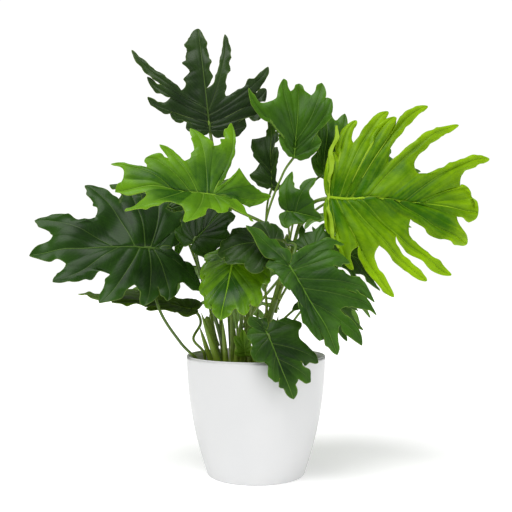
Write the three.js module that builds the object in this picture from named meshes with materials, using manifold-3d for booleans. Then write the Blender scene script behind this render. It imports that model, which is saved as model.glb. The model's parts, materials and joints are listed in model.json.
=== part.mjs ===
// Split-leaf philodendron in a round pot: pot, soil, crown stems and one node for each leaf with its stalk.
// Millimetres, +Z up, +Y away from the side the plant is seen from.
// The origin is the middle of the pot's foot, on the surface that the pot stands on.
import * as THREE from 'three';
import { mergeVertices } from 'three/addons/utils/BufferGeometryUtils.js';
import Module from 'manifold-3d';

const wasm = await Module();
wasm.setup();

// Driving dimensions of the pot and its soil
const POT_HEIGHT = 141;
const POT_RIM_RADIUS = 82;
const POT_FOOT_RADIUS = 57;
const POT_EDGE = 3.5;
const POT_WALL = 2.4;
const POT_LIP = 0.8;
const POT_FLOOR = 4;
const SOIL_EDGE = 122;
const SOIL_SHOULDER = 125.5;
const SOIL_CROWN = 127;
const SOIL_CLEARANCE = 0.55;
const ROOT_DEPTH = 24;
const TURNED_SIDES = 32;

// Clear space round a stalk in its hole, and the thickness of every leaf blade
const GAP = 0.3;
const BLADE = 0.8;

// Stalks: sides of their section, length of one step, and the part of the midrib that they run on under
const STALK_SIDES = 5;
const STALK_STEP = 24;
const KEEL = 0.28;
const STEM_SIDES = 8;
const STEM_STEPS = 9;
const STEM_FOOT = 1.12;
const STEM_TAPER = 0.3;

// Sheath at a stalk's foot: how much wider it is, over which part of the stalk it narrows, how far it
// lies along its stem in mm, and the factor that brings its flat-sided section up to the stem
const SHEATH = 0.5;
const SHEATH_PART = 0.22;
const SHEATH_RISE = 14;
const SNUG = 0.96;

// Lobes: how far a vein bows, the rounding of a cut's bottom, and the droop of a tip, as parts of a
// vein's length; the length that makes a lobe a long one; the depth of the notch at the stalk in mm
const VEIN_BOW = 0.05;
const FILLET = 0.05;
const CURL = 0.1;
const LONG_LOBE = 50;
const NOTCH = 3;

// Outline of a lobe: the powers that keep it wide along its vein and make its tip more or less pointed
const TIP_REACH = 3;
const TIP_POINT = 0.8;
const DEG = Math.PI / 180;

const plant = new THREE.Group();

function material(color, roughness) {
  return new THREE.MeshStandardMaterial({ color, roughness, metalness: 0 });
}

// Joining and cutting of closed meshes
function toSolid(geometry) {
  const bare = geometry.clone();
  bare.deleteAttribute('normal');
  bare.deleteAttribute('uv');
  const merged = mergeVertices(bare, 1e-4);
  const triVerts = new Uint32Array(merged.index.array);
  const vertProperties = new Float32Array(merged.attributes.position.array);
  return new wasm.Manifold(new wasm.Mesh({ numProp: 3, vertProperties, triVerts }));
}

function toGeometry(solid) {
  const mesh = solid.getMesh();
  const geometry = new THREE.BufferGeometry();
  geometry.setAttribute('position', new THREE.BufferAttribute(mesh.vertProperties, 3));
  geometry.setIndex(new THREE.BufferAttribute(mesh.triVerts, 1));
  geometry.computeVertexNormals();
  return geometry;
}

function addPiece(name, geometry, look) {
  const mesh = new THREE.Mesh(geometry, look);
  mesh.name = name;
  plant.add(mesh);
}

// Pot: a turned shell whose side swells from the foot to an upright rim
function potRadius(z) {
  return POT_RIM_RADIUS - (POT_RIM_RADIUS - POT_FOOT_RADIUS) * (1 - z / POT_HEIGHT) ** 2;
}

function wallPoints(inset, from, to, count) {
  const points = [];
  for (let i = 0; i <= count; i += 1) {
    const z = from + (to - from) * i / count;
    points.push(new THREE.Vector2(potRadius(z) - inset, z));
  }
  return points;
}

function potGeometry() {
  const foot = potRadius(POT_EDGE) - POT_EDGE;
  const profile = [new THREE.Vector2(0, 0), new THREE.Vector2(foot, 0)];
  profile.push(new THREE.Vector2(foot + POT_EDGE * 0.7, POT_EDGE * 0.3));
  profile.push(...wallPoints(0, POT_EDGE, POT_HEIGHT - POT_LIP, 6));
  profile.push(new THREE.Vector2(POT_RIM_RADIUS - POT_LIP, POT_HEIGHT));
  profile.push(new THREE.Vector2(POT_RIM_RADIUS - POT_WALL + POT_LIP / 2, POT_HEIGHT));
  profile.push(...wallPoints(POT_WALL, POT_FLOOR, POT_HEIGHT - POT_LIP, 4).reverse());
  profile.push(new THREE.Vector2(0, POT_FLOOR));
  return new THREE.LatheGeometry(profile, TURNED_SIDES).rotateX(Math.PI / 2);
}

// Soil: fills the pot to a finger's width below the rim, mounded round the stems
function soilSolid() {
  const inset = POT_WALL + SOIL_CLEARANCE;
  const profile = [new THREE.Vector2(0, POT_FLOOR + GAP)];
  profile.push(...wallPoints(inset, POT_FLOOR + GAP, SOIL_EDGE, 4));
  const edge = potRadius(SOIL_EDGE) - inset;
  profile.push(new THREE.Vector2(edge * 0.6, SOIL_SHOULDER));
  profile.push(new THREE.Vector2(0, SOIL_CROWN));
  return toSolid(new THREE.LatheGeometry(profile, TURNED_SIDES).rotateX(Math.PI / 2));
}

// A round stalk: a cylinder whose rings are moved onto a curve and scaled by its radius there
function stalkSolid(points, radiusAt, sides, steps) {
  const curve = new THREE.CatmullRomCurve3(points, false, 'catmullrom', 0.5);
  const frames = curve.computeFrenetFrames(steps, false);
  const geometry = new THREE.CylinderGeometry(1, 1, 1, sides, steps);
  const position = geometry.attributes.position;
  for (let i = 0; i < position.count; i += 1) {
    const along = 0.5 - position.getY(i);
    const ring = Math.round(along * steps);
    const place = curve.getPointAt(along);
    const radius = radiusAt(along);
    place.addScaledVector(frames.normals[ring], position.getX(i) * radius);
    place.addScaledVector(frames.binormals[ring], position.getZ(i) * radius);
    position.setXYZ(i, place.x, place.y, place.z);
  }
  return toSolid(geometry);
}

// Crown stems: the woody shoots that carry the upper leaves, rooted in the soil
const STEMS = {
  stem_tall: {
    radius: 4.2,
    color: 0x66803a,
    path: [[4, 4, 100], [5, 4, 134], [14, 3, 177], [26, 2, 217], [34, 2, 250], [37, 2, 284]],
  },
  stem_left: {
    radius: 4.6,
    color: 0x5f7a35,
    path: [[-44, 0, 100], [-45, 0, 134], [-52, 2, 160], [-59, 5, 186]],
  },
  stem_back: {
    radius: 3.8,
    color: 0x5a7434,
    path: [[-14, 30, 100], [-14, 31, 134], [-10, 36, 180], [-4, 42, 236]],
  },
};

function vector(list) {
  return new THREE.Vector3(...list);
}

function stemCurve(name) {
  return new THREE.CatmullRomCurve3(STEMS[name].path.map(vector), false, 'catmullrom', 0.5);
}

function stemRadius(name, along) {
  return STEMS[name].radius * (STEM_FOOT - STEM_TAPER * along);
}

// A point beside the stem at a height, found by halving: in the direction given, clear by the distance
function besideStem(name, height, aside, clear) {
  const curve = stemCurve(name);
  let low = 0;
  let high = 1;
  for (let i = 0; i < 20; i += 1) {
    const middle = (low + high) / 2;
    if (curve.getPointAt(middle).z < height) low = middle;
    else high = middle;
  }
  return curve.getPointAt(low).addScaledVector(aside, stemRadius(name, low) + clear);
}

// Where a leaf's stalk starts: upright in the soil, or lying along a stem
function rootPoints(root, radius) {
  if (root.soil) {
    const [x, y] = root.soil;
    return [new THREE.Vector3(x, y, SOIL_CROWN - ROOT_DEPTH), new THREE.Vector3(x, y, SOIL_CROWN + 4)];
  }
  const [name, height, azimuth] = root.stem;
  const aside = new THREE.Vector3(Math.cos(azimuth * DEG), Math.sin(azimuth * DEG), 0);
  const clear = radius * (1 + SHEATH) * SNUG + GAP;
  return [height, height + SHEATH_RISE].map((z) => besideStem(name, z, aside, clear));
}

// The leaf's own axes: x along the midrib, y to its left, z out of its upper face
function leafAxes(leaf) {
  const x = vector(leaf.heading).normalize();
  const z = vector(leaf.face);
  z.addScaledVector(x, -x.dot(z)).normalize();
  const y = new THREE.Vector3().crossVectors(z, x);
  return new THREE.Matrix4().makeBasis(x, y, z).setPosition(...leaf.at);
}

// Flat leaf to bent leaf: u along the midrib, v aside, h out of the face. The sides rise by fold, roll
// on with the distance from the midrib, and the midrib arches by arch over the leaf's length.
function bentPoint(leaf, u, v, h) {
  const side = Math.sign(v);
  const roll = leaf.roll * DEG / leaf.length;
  const fold = leaf.fold * DEG;
  const slope = fold + roll * Math.abs(v);
  const out = (Math.sin(slope) - Math.sin(fold)) / roll;
  const rise = (Math.cos(fold) - Math.cos(slope)) / roll;
  const y = side * (out - Math.sin(slope) * h);
  const above = rise + Math.cos(slope) * h;
  const arch = leaf.arch * DEG / leaf.length;
  const nod = arch * u;
  const x = Math.sin(nod) / arch + Math.sin(nod) * above;
  return new THREE.Vector3(x, y, (Math.cos(nod) - 1) / arch + Math.cos(nod) * above);
}

// One lobe of a leaf: the root of its vein on the midrib, the vein's angle and length, half its width
// (or a pair: towards the base and towards the tip of the leaf; on the end lobe, left and right), the
// bottom of the cut that follows it, as an angle and a distance from the stalk, and its curl
function makeLobe(row, side) {
  const [at, aim, reach, wide, cutAim = 0, cutFar = 0, curl = CURL] = row;
  const angle = side * aim * DEG;
  const cut = [cutFar * Math.cos(cutAim * DEG), side * cutFar * Math.sin(cutAim * DEG)];
  const widths = Array.isArray(wide) ? wide : [wide, wide];
  return { at, reach, widths, cut, curl, side, direction: [Math.cos(angle), Math.sin(angle)] };
}

// All lobes in order: left side from base to tip, the end lobe, right side from tip to base
function leafLobes(leaf) {
  const left = leaf.left.map((row) => makeLobe(row, 1));
  const right = leaf.right.map((row) => makeLobe(row, -1)).reverse();
  const last = Math.max(...leaf.left.map((row) => row[0]), ...leaf.right.map((row) => row[0]));
  const end = makeLobe([last, 0, leaf.length - last, leaf.tip], 0);
  return [...left, end, ...right];
}

// A point of a vein in the flat leaf; side lobes bow a little towards the base of the leaf
function veinPoint(lobe, a) {
  const [du, dv] = lobe.direction;
  const bow = VEIN_BOW * lobe.reach * 4 * (a - a * a) * lobe.side;
  return [lobe.at + du * lobe.reach * a - dv * bow, dv * lobe.reach * a + du * bow];
}

function veinHeight(lobe, a) {
  return -lobe.curl * lobe.reach * a * a;
}

// How far along a lobe's vein a point of the flat leaf lies, as a part of the vein's length
function stationOf(lobe, u, v) {
  const along = ((u - lobe.at) * lobe.direction[0] + v * lobe.direction[1]) / lobe.reach;
  return Math.min(Math.max(along, 0.02), 0.94);
}

// The bottom of the cut between two neighbouring lobes
function cutBetween(first, second) {
  const [u, v] = first.side > 0 ? first.cut : second.cut;
  const heights = [first, second].map((lobe) => veinHeight(lobe, stationOf(lobe, u, v)));
  return { u, v, height: (heights[0] + heights[1]) / 2 };
}

// One edge of a lobe, on the side where turn is +1 (towards the left base) or -1
function lobeEdge(lobe, cut, turn) {
  const [du, dv] = lobe.direction;
  const aside = [-dv * turn, du * turn];
  const start = stationOf(lobe, cut.u, cut.v);
  const base = veinPoint(lobe, start);
  const width = (cut.u - base[0]) * aside[0] + (cut.v - base[1]) * aside[1];
  const wide = lobe.widths[turn * (lobe.side || 1) < 0 ? 1 : 0];
  const rise = cut.height - veinHeight(lobe, start);
  return (a) => {
    if (a <= start) return { ...cut, inCut: true };
    const t = (a - start) / (1 - start);
    const flare = Math.exp((start - a) / FILLET) * (1 - t);
    const out = wide * (1 - t ** TIP_REACH) ** TIP_POINT + (width - wide) * flare;
    const [u, v] = veinPoint(lobe, a);
    return { u: u + aside[0] * out, v: v + aside[1] * out, height: veinHeight(lobe, a) + rise * flare };
  };
}

// The blade as columns from the veins out to the edge, once round the leaf
function bladeColumns(leaf) {
  const lobes = leafLobes(leaf);
  const notch = { u: -NOTCH, v: 0, height: 0 };
  const cuts = lobes.slice(1).map((lobe, i) => cutBetween(lobes[i], lobe));
  const ribs = [...new Set([0, ...lobes.map((lobe) => lobe.at)])].sort((p, q) => p - q);
  const columns = [];
  const onRib = (at) => ({ key: `rib ${at}`, u: at, v: 0, height: 0 });
  const alongRib = (from, to, cut, cutKey) => {
    const between = ribs.filter((at) => at > Math.min(from, to) && at < Math.max(from, to));
    if (from > to) between.reverse();
    for (const at of between) columns.push({ foot: onRib(at), rim: { ...cut, key: cutKey } });
  };
  lobes.forEach((lobe, i) => {
    const before = i ? cuts[i - 1] : notch;
    const after = i < cuts.length ? cuts[i] : notch;
    const beforeKey = `cut ${i ? i - 1 : 'base'}`;
    const afterKey = `cut ${i < cuts.length ? i : 'base'}`;
    const edges = [lobeEdge(lobe, before, 1), lobeEdge(lobe, after, -1)];
    const middle = (stationOf(lobe, before.u, before.v) + stationOf(lobe, after.u, after.v)) / 2;
    const free = lobe.reach > LONG_LOBE ? [0, 0.14, 0.5, 0.82, 1] : [0, 0.25, 0.72, 1];
    const stations = [0, ...free.map((t) => middle + (1 - middle) * t)];
    const column = (k, edge, cutKey) => {
      const [u, v] = veinPoint(lobe, stations[k]);
      const vein = { key: `vein ${i} ${k}`, u, v, height: veinHeight(lobe, stations[k]) };
      const foot = k ? vein : onRib(lobe.at);
      if (k === stations.length - 1) return { foot, rim: foot };
      const rim = edges[edge](stations[k]);
      return { foot, rim: { ...rim, key: rim.inCut ? cutKey : `edge ${i} ${edge} ${k}` } };
    };
    if (i === 0) alongRib(-1, lobe.at, notch, beforeKey);
    else alongRib(lobes[i - 1].at, lobe.at, before, beforeKey);
    for (let k = 0; k < stations.length; k += 1) columns.push(column(k, 0, beforeKey));
    for (let k = stations.length - 2; k >= 0; k -= 1) columns.push(column(k, 1, afterKey));
    if (i === lobes.length - 1) alongRib(lobe.at, -1, notch, afterKey);
  });
  return columns;
}

// The blade as a closed sheet: upper face, the same face below it, and the edge between them
function bladeSolid(leaf) {
  const columns = bladeColumns(leaf);
  const keys = new Map();
  const points = [];
  const numberOf = (spot) => {
    if (!keys.has(spot.key)) {
      keys.set(spot.key, points.length);
      points.push(bentPoint(leaf, spot.u, spot.v, spot.height));
    }
    return keys.get(spot.key);
  };
  const triangles = [];
  const outline = [];
  columns.forEach((column, i) => {
    const next = columns[(i + 1) % columns.length];
    const [f, g, r, s] = [column.foot, next.foot, column.rim, next.rim].map(numberOf);
    if (r !== s) outline.push([r, s]);
    if (f !== g && g !== s) triangles.push([f, g, s]);
    if (r !== s && f !== r) triangles.push([f, s, r]);
  });
  const normals = points.map(() => new THREE.Vector3());
  for (const [a, b, c] of triangles) {
    const ab = points[b].clone().sub(points[a]);
    const ac = points[c].clone().sub(points[a]);
    const normal = ab.cross(ac).normalize();
    for (const corner of [a, b, c]) normals[corner].add(normal);
  }
  const place = leafAxes(leaf);
  const coordinates = [];
  for (const half of [BLADE / 2, -BLADE / 2]) {
    points.forEach((point, i) => {
      const spot = point.clone().addScaledVector(normals[i].clone().normalize(), half);
      coordinates.push(...spot.applyMatrix4(place).toArray());
    });
  }
  const below = points.length;
  const index = [];
  for (const [a, b, c] of triangles) index.push(a, b, c, a + below, c + below, b + below);
  for (const [a, b] of outline) index.push(a, b, b + below, a, b + below, a + below);
  const geometry = new THREE.BufferGeometry();
  geometry.setAttribute('position', new THREE.Float32BufferAttribute(coordinates, 3));
  geometry.setIndex(index);
  return toSolid(geometry);
}

// The stalk rises from its root through its given points to the blade, and runs on under the midrib
function leafStalk(leaf) {
  const radius = leaf.thick / 2;
  const place = leafAxes(leaf);
  const under = (u, below) => bentPoint(leaf, u, 0, -below).applyMatrix4(place);
  const root = rootPoints(leaf.root, radius);
  const free = leaf.stalk.map(vector);
  const depth = (part) => BLADE / 2 + radius * 0.35 * (1 - part);
  const keel = [0, KEEL / 2, KEEL].map((part) => under(leaf.length * part, depth(part)));
  const points = [...root, ...free, ...keel];
  const curve = new THREE.CatmullRomCurve3(points, false, 'catmullrom', 0.5);
  const length = curve.getLength();
  const keelStart = 1 - leaf.length * KEEL / length;
  const steps = Math.max(6, Math.round(length / STALK_STEP));
  const radiusAt = (along) => {
    const sheath = 1 + SHEATH * Math.max(0, 1 - along / SHEATH_PART);
    const end = Math.max(0, along - keelStart) / (1 - keelStart);
    return radius * sheath * (1 - 0.72 * end);
  };
  return { points, radiusAt, steps, solid: stalkSolid(points, radiusAt, STALK_SIDES, steps) };
}

// Repeatable draws between -1 and 1
function drawer(seed) {
  let state = seed;
  return () => {
    state = (state * 1664525 + 1013904223) % 4294967296;
    return state / 2147483648 - 1;
  };
}

// Lobes by rule, for leaves that others hide: from swept-back base lobes to forward ones at the tip
function lobesByRule(count, length, draw) {
  const rows = [];
  for (let i = 0; i < count; i += 1) {
    const part = (i + 0.3) / count;
    const at = length * 0.45 * part ** 1.7;
    const aim = 128 - 100 * part + 4 * draw();
    const reach = length * (0.6 + 0.14 * Math.sin(Math.PI * part)) * (1 + 0.08 * draw());
    const cutPart = (i + 0.8) / count;
    const cutAim = 122 - 106 * cutPart ** 1.15 + 3 * draw();
    const cutFar = length * (0.36 + 0.38 * cutPart ** 2.4) * (1 + 0.05 * draw());
    rows.push([at, aim, reach, length * 0.08, cutAim, cutFar]);
  }
  return rows;
}

function hiddenLeaf(seed, count, leaf) {
  const draw = drawer(seed);
  const left = lobesByRule(count, leaf.length, draw);
  const right = lobesByRule(count, leaf.length, draw);
  return { ...leaf, tip: leaf.length * 0.085, left, right };
}

// The leaves. at: where stalk and blade meet; heading: along the midrib; face: out of the upper side.
// left and right: lobes from base to tip as [root on midrib, angle, length, half width, cut, curl].
const LEAVES = {
  leaf_right_broad: {
    at: [86, -20, 327], heading: [1, 0.02, -0.05], face: [0.12, -0.95, 0.3],
    length: 185, tip: 13, arch: 14, fold: 4, roll: -10, thick: 4.4, color: 0x6f9a1c,
    left: [[0, 86, 60, 6, 75, 52], [3, 77, 109, 7, 69, 77], [12, 65, 139, 8, 53, 82],
      [20, 64, 131, 6, 51, 128], [26, 56, 173, 8, 35, 86], [44, 45, 176, 8, 20, 112],
      [88, 34, 143, 8, 11, 166], [112, 27, 72, 6, 6, 180]],
    right: [[0, 90, 46, 5, 80, 46], [0, 74, 90, 5, 60, 68], [8, 60, 134, 7, 45, 81],
      [20, 44, 134, 7, 29, 89], [36, 37, 139, 8, 12, 98], [80, 23, 100, 11, 4, 154]],
    root: { stem: ['stem_tall', 226, 10] }, stalk: [[50, 0, 290], [64, -6, 318]],
  },
  leaf_left_broad: {
    at: [-120, -15, 267], heading: [-0.95, -0.31, 0.04], face: [0.12, -0.86, 0.5],
    length: 143, tip: 13, arch: 16, fold: 5, roll: -14, thick: 3.4, color: 0x304a22,
    left: [[0, 140, 75, 12, 120, 53], [0, 105, 69, 11, 94, 49], [6, 86, 74, 12, 64, 56],
      [16, 57, 85, 14, 35, 63], [40, 29, 85, 13, 10, 102]],
    right: [[0, 131, 80, 14, 108, 62], [4, 100, 96, 12, 82, 66], [10, 79, 100, 12, 60, 73],
      [22, 61, 108, 15, 32, 78], [46, 28, 102, 13, 10, 117]],
    root: { soil: [-64, -22] }, stalk: [[-86, -36, 158], [-110, -38, 196], [-121, -18, 240]],
  },
  leaf_upper_left: {
    at: [-47, -70, 323], heading: [-0.91, -0.38, 0.17], face: [0.1, -0.74, 0.67],
    length: 108, tip: 10, arch: 18, fold: 22, roll: -6, thick: 3.8, color: 0x4d7a22,
    left: [[0, 150, 52, 10, 128, 26], [2, 99, 35, 8, 76, 32], [12, 68, 72, 9, 42, 66],
      [34, 37, 79, 10, 8, 78]],
    right: [[0, 162, 82, 9, 148, 60], [0, 126, 58, [14, 3], 98, 10], [2, 105, 114, [4, 13], 89, 72],
      [8, 82, 88, 12, 50, 57], [18, 56, 70, 6, 36, 73], [26, 42, 62, 11, 19, 78],
      [48, 29, 72, 4, 8, 100]],
    root: { stem: ['stem_tall', 262, 200] }, stalk: [[12, -22, 294], [-24, -48, 310]],
  },
  leaf_top_left: {
    at: [-56, 20, 411], heading: [-0.11, 0.04, 0.99], face: [0.05, -0.97, 0.2],
    length: 140, tip: [21, 10], arch: 14, fold: 6, roll: -12, thick: 3.6, color: 0x2b3b24,
    left: [[0, 80, 29, 6, 61, 32], [2, 64, 52, 5, 56, 49], [10, 64, 81, 5, 44, 62],
      [18, 52, 90, 5, 39, 76], [26, 45, 123, 6, 29, 60]],
    right: [[0, 90, 45, 9, 76, 50], [4, 78, 74, 9, 64, 68], [8, 66, 84, 7, 56, 74],
      [18, 57, 99, 7, 31, 47], [22, 18, 109, [9, 5], 2, 52]],
    root: { soil: [-30, 14] }, stalk: [[-34, 16, 200], [-42, 26, 300], [-50, 32, 370]],
  },
  leaf_front_right: {
    at: [37, -85, 243], heading: [0.51, -0.37, -0.77], face: [0.16, -0.92, 0.36],
    length: 107, tip: 9, arch: 20, fold: 6, roll: -14, thick: 3.8, color: 0x36591f,
    left: [[0, 98, 72, 10, 90, 58], [4, 79, 66, 10, 66, 58], [14, 55, 90, 11, 42, 77],
      [26, 48, 86, 10, 21, 84], [44, 25, 72, 9, 13, 91]],
    right: [[0, 162, 62, 13, 148, 18, -0.3], [0, 132, 27, 9, 100, 20], [4, 62, 22, 7, 34, 26],
      [30, 17, 56, 9, 6, 84]],
    root: { stem: ['stem_tall', 224, 275] }, stalk: [[34, -22, 268], [44, -60, 268]],
  },
  leaf_front_middle: {
    at: [-24, -56, 256], heading: [-0.21, -0.57, -0.79], face: [-0.04, -0.88, 0.46],
    length: 76, tip: 10, arch: 24, fold: -4, roll: -20, thick: 4.6, color: 0x4c7a14,
    left: [[0, 106, 40, 10, 86, 37], [4, 78, 48, 10, 57, 45], [12, 45, 54, 10, 30, 53],
      [24, 33, 49, 8, 13, 62]],
    right: [[0, 100, 38, 10, 79, 35], [4, 63, 42, 10, 42, 43], [12, 38, 47, 10, 22, 55],
      [26, 26, 44, 7, 12, 64]],
    root: { soil: [-18, -12] }, stalk: [[-17, -20, 190], [-18, -32, 236]],
  },
  leaf_centre_dark: {
    at: [22, -52, 277], heading: [-0.84, -0.52, -0.1], face: [0.1, -0.78, 0.62],
    length: 72, tip: 11, arch: 18, fold: 4, roll: -14, thick: 3.2, color: 0x2a4518,
    left: [[0, 86, 34, 10, 66, 38], [2, 59, 38, 10, 47, 46], [8, 43, 54, 10, 26, 57],
      [26, 24, 47, 9, 7, 68]],
    right: [[0, 122, 26, 9, 100, 20], [6, 84, 28, 9, 50, 30], [22, 46, 32, 9, 12, 58]],
    root: { stem: ['stem_tall', 248, 258] }, stalk: [[32, -30, 276]],
  },
  leaf_centre_left: {
    at: [-71, -20, 272], heading: [0.51, 0.31, 0.8], face: [-0.2, -0.8, 0.56],
    length: 70, tip: 11, arch: 16, fold: 6, roll: -16, thick: 3.4, color: 0x2d4a1c,
    left: [[0, 80, 36, 10, 62, 40], [2, 49, 52, 9, 37, 55], [10, 37, 68, 9, 24, 64],
      [20, 26, 68, 9, 9, 66]],
    right: [[0, 106, 32, 9, 90, 28], [8, 62, 37, 9, 36, 41], [20, 29, 42, 8, 9, 60]],
    root: { soil: [-34, -8] }, stalk: [[-46, -10, 180], [-62, -8, 224]],
  },
  leaf_over_rim: {
    at: [12, -88, 173], heading: [0.39, -0.26, -0.88], face: [0.06, -0.96, 0.28],
    length: 76, tip: 9, arch: 12, fold: 5, roll: -12, thick: 3, color: 0x2b4716,
    left: [[0, 88, 40, 10, 61, 41], [12, 49, 55, 10, 28, 57], [30, 35, 43, 9, 12, 66]],
    right: [[0, 158, 27, 9, 138, 20], [0, 112, 22, 9, 71, 25], [5, 58, 29, 9, 29, 37],
      [24, 25, 30, 8, 7, 56]],
    root: { soil: [2, -38] }, stalk: [[4, -60, 158]],
  },
  leaf_top_middle: {
    at: [46, 10, 378], heading: [0.09, 0.06, 0.99], face: [0.1, -0.93, 0.3],
    length: 95, tip: 9, arch: 10, fold: 24, roll: -10, thick: 2.8, color: 0x3f6a1a,
    left: [[0, 44, 32, 7, 32, 47], [8, 48, 92, 5, 29, 71], [22, 18, 77, 8, 8, 82]],
    right: [[0, 62, 37, 8, 40, 45], [8, 34, 76, 8, 25, 80], [18, 22, 81, 8, 12, 79]],
    root: { stem: ['stem_tall', 180, 170] }, stalk: [[10, 8, 240], [12, 8, 300], [32, 12, 356]],
  },
  leaf_top_right: {
    at: [82, 32, 360], heading: [0.12, 0.11, 0.99], face: [0.3, -0.9, 0.3],
    length: 94, tip: 8, arch: 12, fold: 22, roll: -10, thick: 2.6, color: 0x44701c,
    left: [[0, 56, 24, 7, 24, 40], [10, 15, 80, 6, 9, 68]],
    right: [[0, 64, 26, 8, 32, 48], [10, 19, 78, 7, 9, 74]],
    root: { stem: ['stem_tall', 252, 60] }, stalk: [[50, 18, 318], [70, 28, 348]],
  },
  leaf_middle_upright: {
    at: [20, 32, 345], heading: [-0.05, 0.12, 0.99], face: [-0.25, -0.94, 0.2],
    length: 93, tip: 6, arch: 12, fold: 18, roll: -8, thick: 2.6, color: 0x2a4814,
    left: [[0, 64, 31, 6, 26, 32], [16, 29, 52, 5, 6, 66]],
    right: [[0, 110, 14, 6, 24, 20], [16, 16, 33, 5, 4, 54], [32, 10, 41, 4, 3, 68]],
    root: { stem: ['stem_back', 214, 30] }, stalk: [[10, 44, 276], [14, 42, 322]],
  },
  leaf_middle_small: {
    at: [37, -12, 311], heading: [0.91, -0.38, -0.16], face: [-0.1, -0.93, 0.35],
    length: 42, tip: 7, arch: 12, fold: 20, roll: -10, thick: 2.4, color: 0x4a7c12,
    left: [[0, 102, 51, 9, 69, 29], [10, 75, 48, 7, 32, 34]],
    right: [[0, 76, 28, 8, 32, 30]],
    root: { stem: ['stem_tall', 266, 300] }, stalk: [[38, -8, 298]],
  },
  leaf_low_left: {
    at: [-73, 8, 194], heading: [-0.96, 0.08, 0.22], face: [0.2, -0.22, 0.95],
    length: 146, tip: 9, arch: 6, fold: 4, roll: -8, thick: 3.3, color: 0x4b5f22,
    left: [[4, 84, 28, 9, 56, 34], [16, 52, 48, 9, 32, 62], [40, 30, 62, 8, 8, 98]],
    right: [[4, 84, 36, 9, 56, 40], [18, 52, 54, 9, 32, 66], [46, 30, 76, 8, 8, 108]],
    root: { soil: [-60, -8] }, stalk: [[-62, -12, 146], [-74, -6, 160], [-66, 4, 178]],
  },
  leaf_behind_right: hiddenLeaf(11, 4, {
    at: [126, 48, 345], heading: [0.87, 0.25, 0.42], face: [0, -0.8, 0.6],
    length: 108, arch: 24, fold: 6, roll: -20, thick: 3.2, color: 0x35541f,
    root: { stem: ['stem_tall', 214, 90] }, stalk: [[56, 34, 296], [92, 46, 328]],
  }),
  leaf_low_right: hiddenLeaf(12, 4, {
    at: [94, 34, 266], heading: [0.92, 0.2, -0.26], face: [0.25, -0.6, 0.75],
    length: 82, arch: 20, fold: 6, roll: -20, thick: 2.8, color: 0x2f4c1c,
    root: { stem: ['stem_tall', 190, 28] }, stalk: [[48, 20, 236], [74, 28, 257]],
  }),
  leaf_centre_right: hiddenLeaf(13, 3, {
    at: [56, -34, 264], heading: [0.8, 0.05, 0.38], face: [-0.1, -0.8, 0.55],
    length: 50, arch: 18, fold: 8, roll: -16, thick: 2.6, color: 0x2c491a,
    root: { stem: ['stem_tall', 206, 312] }, stalk: [[44, -22, 244]],
  }),
  leaf_right_inner: hiddenLeaf(14, 4, {
    at: [70, -44, 209], heading: [0.88, -0.08, -0.42], face: [0.25, -0.6, 0.75],
    length: 64, arch: 20, fold: 5, roll: -18, thick: 2.8, color: 0x2b4619,
    root: { stem: ['stem_tall', 150, 334] }, stalk: [[36, -22, 188], [58, -36, 206]],
  }),
  leaf_behind_left: hiddenLeaf(16, 4, {
    at: [-106, 50, 318], heading: [-0.86, 0.1, 0.5], face: [0.25, -0.72, 0.6],
    length: 92, arch: 18, fold: 6, roll: -16, thick: 3.4, color: 0x2c4620,
    root: { stem: ['stem_left', 150, 60] }, stalk: [[-58, 18, 204], [-74, 32, 252], [-96, 48, 302]],
  }),
  leaf_left_inner: hiddenLeaf(17, 4, {
    at: [-98, 78, 296], heading: [-0.82, 0.05, 0.58], face: [0.1, -0.6, 0.8],
    length: 76, arch: 20, fold: 6, roll: -16, thick: 2.8, color: 0x557f20,
    root: { stem: ['stem_back', 170, 170] }, stalk: [[-50, 54, 236], [-84, 74, 282]],
  }),
  leaf_young_rim: {
    at: [-12, -44, 147], heading: [-0.14, -0.2, 0.97], face: [-0.1, -0.97, -0.2],
    length: 28, tip: 4, arch: 16, fold: 30, roll: -10, thick: 2.6, color: 0x4f8420,
    left: [[0, 78, 13, 4, 52, 12], [5, 34, 19, 4, 14, 20]],
    right: [[0, 82, 12, 4, 50, 13], [6, 32, 18, 4, 13, 21]],
    root: { soil: [-10, -34] }, stalk: [[-11, -38, 139]],
  },
  leaf_back_left: hiddenLeaf(21, 4, {
    at: [-70, 120, 354], heading: [-0.1, 0.95, -0.15], face: [-0.1, 0.3, 0.9],
    length: 96, arch: 34, fold: 6, roll: -20, thick: 3.4, color: 0x3a5e22,
    root: { stem: ['stem_back', 188, 140] }, stalk: [[-30, 68, 270], [-60, 104, 338]],
  }),
  leaf_back_middle: hiddenLeaf(22, 4, {
    at: [8, 104, 262], heading: [0.05, 0.97, -0.2], face: [0.05, 0.4, 0.9],
    length: 100, arch: 34, fold: 6, roll: -20, thick: 3.4, color: 0x355a20,
    root: { stem: ['stem_back', 176, 100] }, stalk: [[-4, 66, 222], [4, 92, 254]],
  }),
  leaf_back_right: hiddenLeaf(23, 4, {
    at: [118, 92, 312], heading: [0.75, 0.64, -0.1], face: [0.3, 0.3, 0.9],
    length: 108, arch: 32, fold: 6, roll: -20, thick: 3.4, color: 0x44701f,
    root: { stem: ['stem_back', 176, 30] }, stalk: [[44, 64, 246], [92, 86, 298]],
  }),
  leaf_back_low_left: hiddenLeaf(24, 3, {
    at: [-92, 84, 242], heading: [-0.75, 0.5, -0.3], face: [-0.3, 0.3, 0.9],
    length: 84, arch: 28, fold: 6, roll: -18, thick: 3, color: 0x2f4d1c,
    root: { soil: [-40, 26] }, stalk: [[-50, 40, 176], [-76, 72, 226]],
  }),
  leaf_back_low: hiddenLeaf(25, 3, {
    at: [-22, 96, 204], heading: [-0.12, 0.92, -0.35], face: [0, 0.5, 0.86],
    length: 76, arch: 28, fold: 6, roll: -18, thick: 3, color: 0x35561d,
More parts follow.
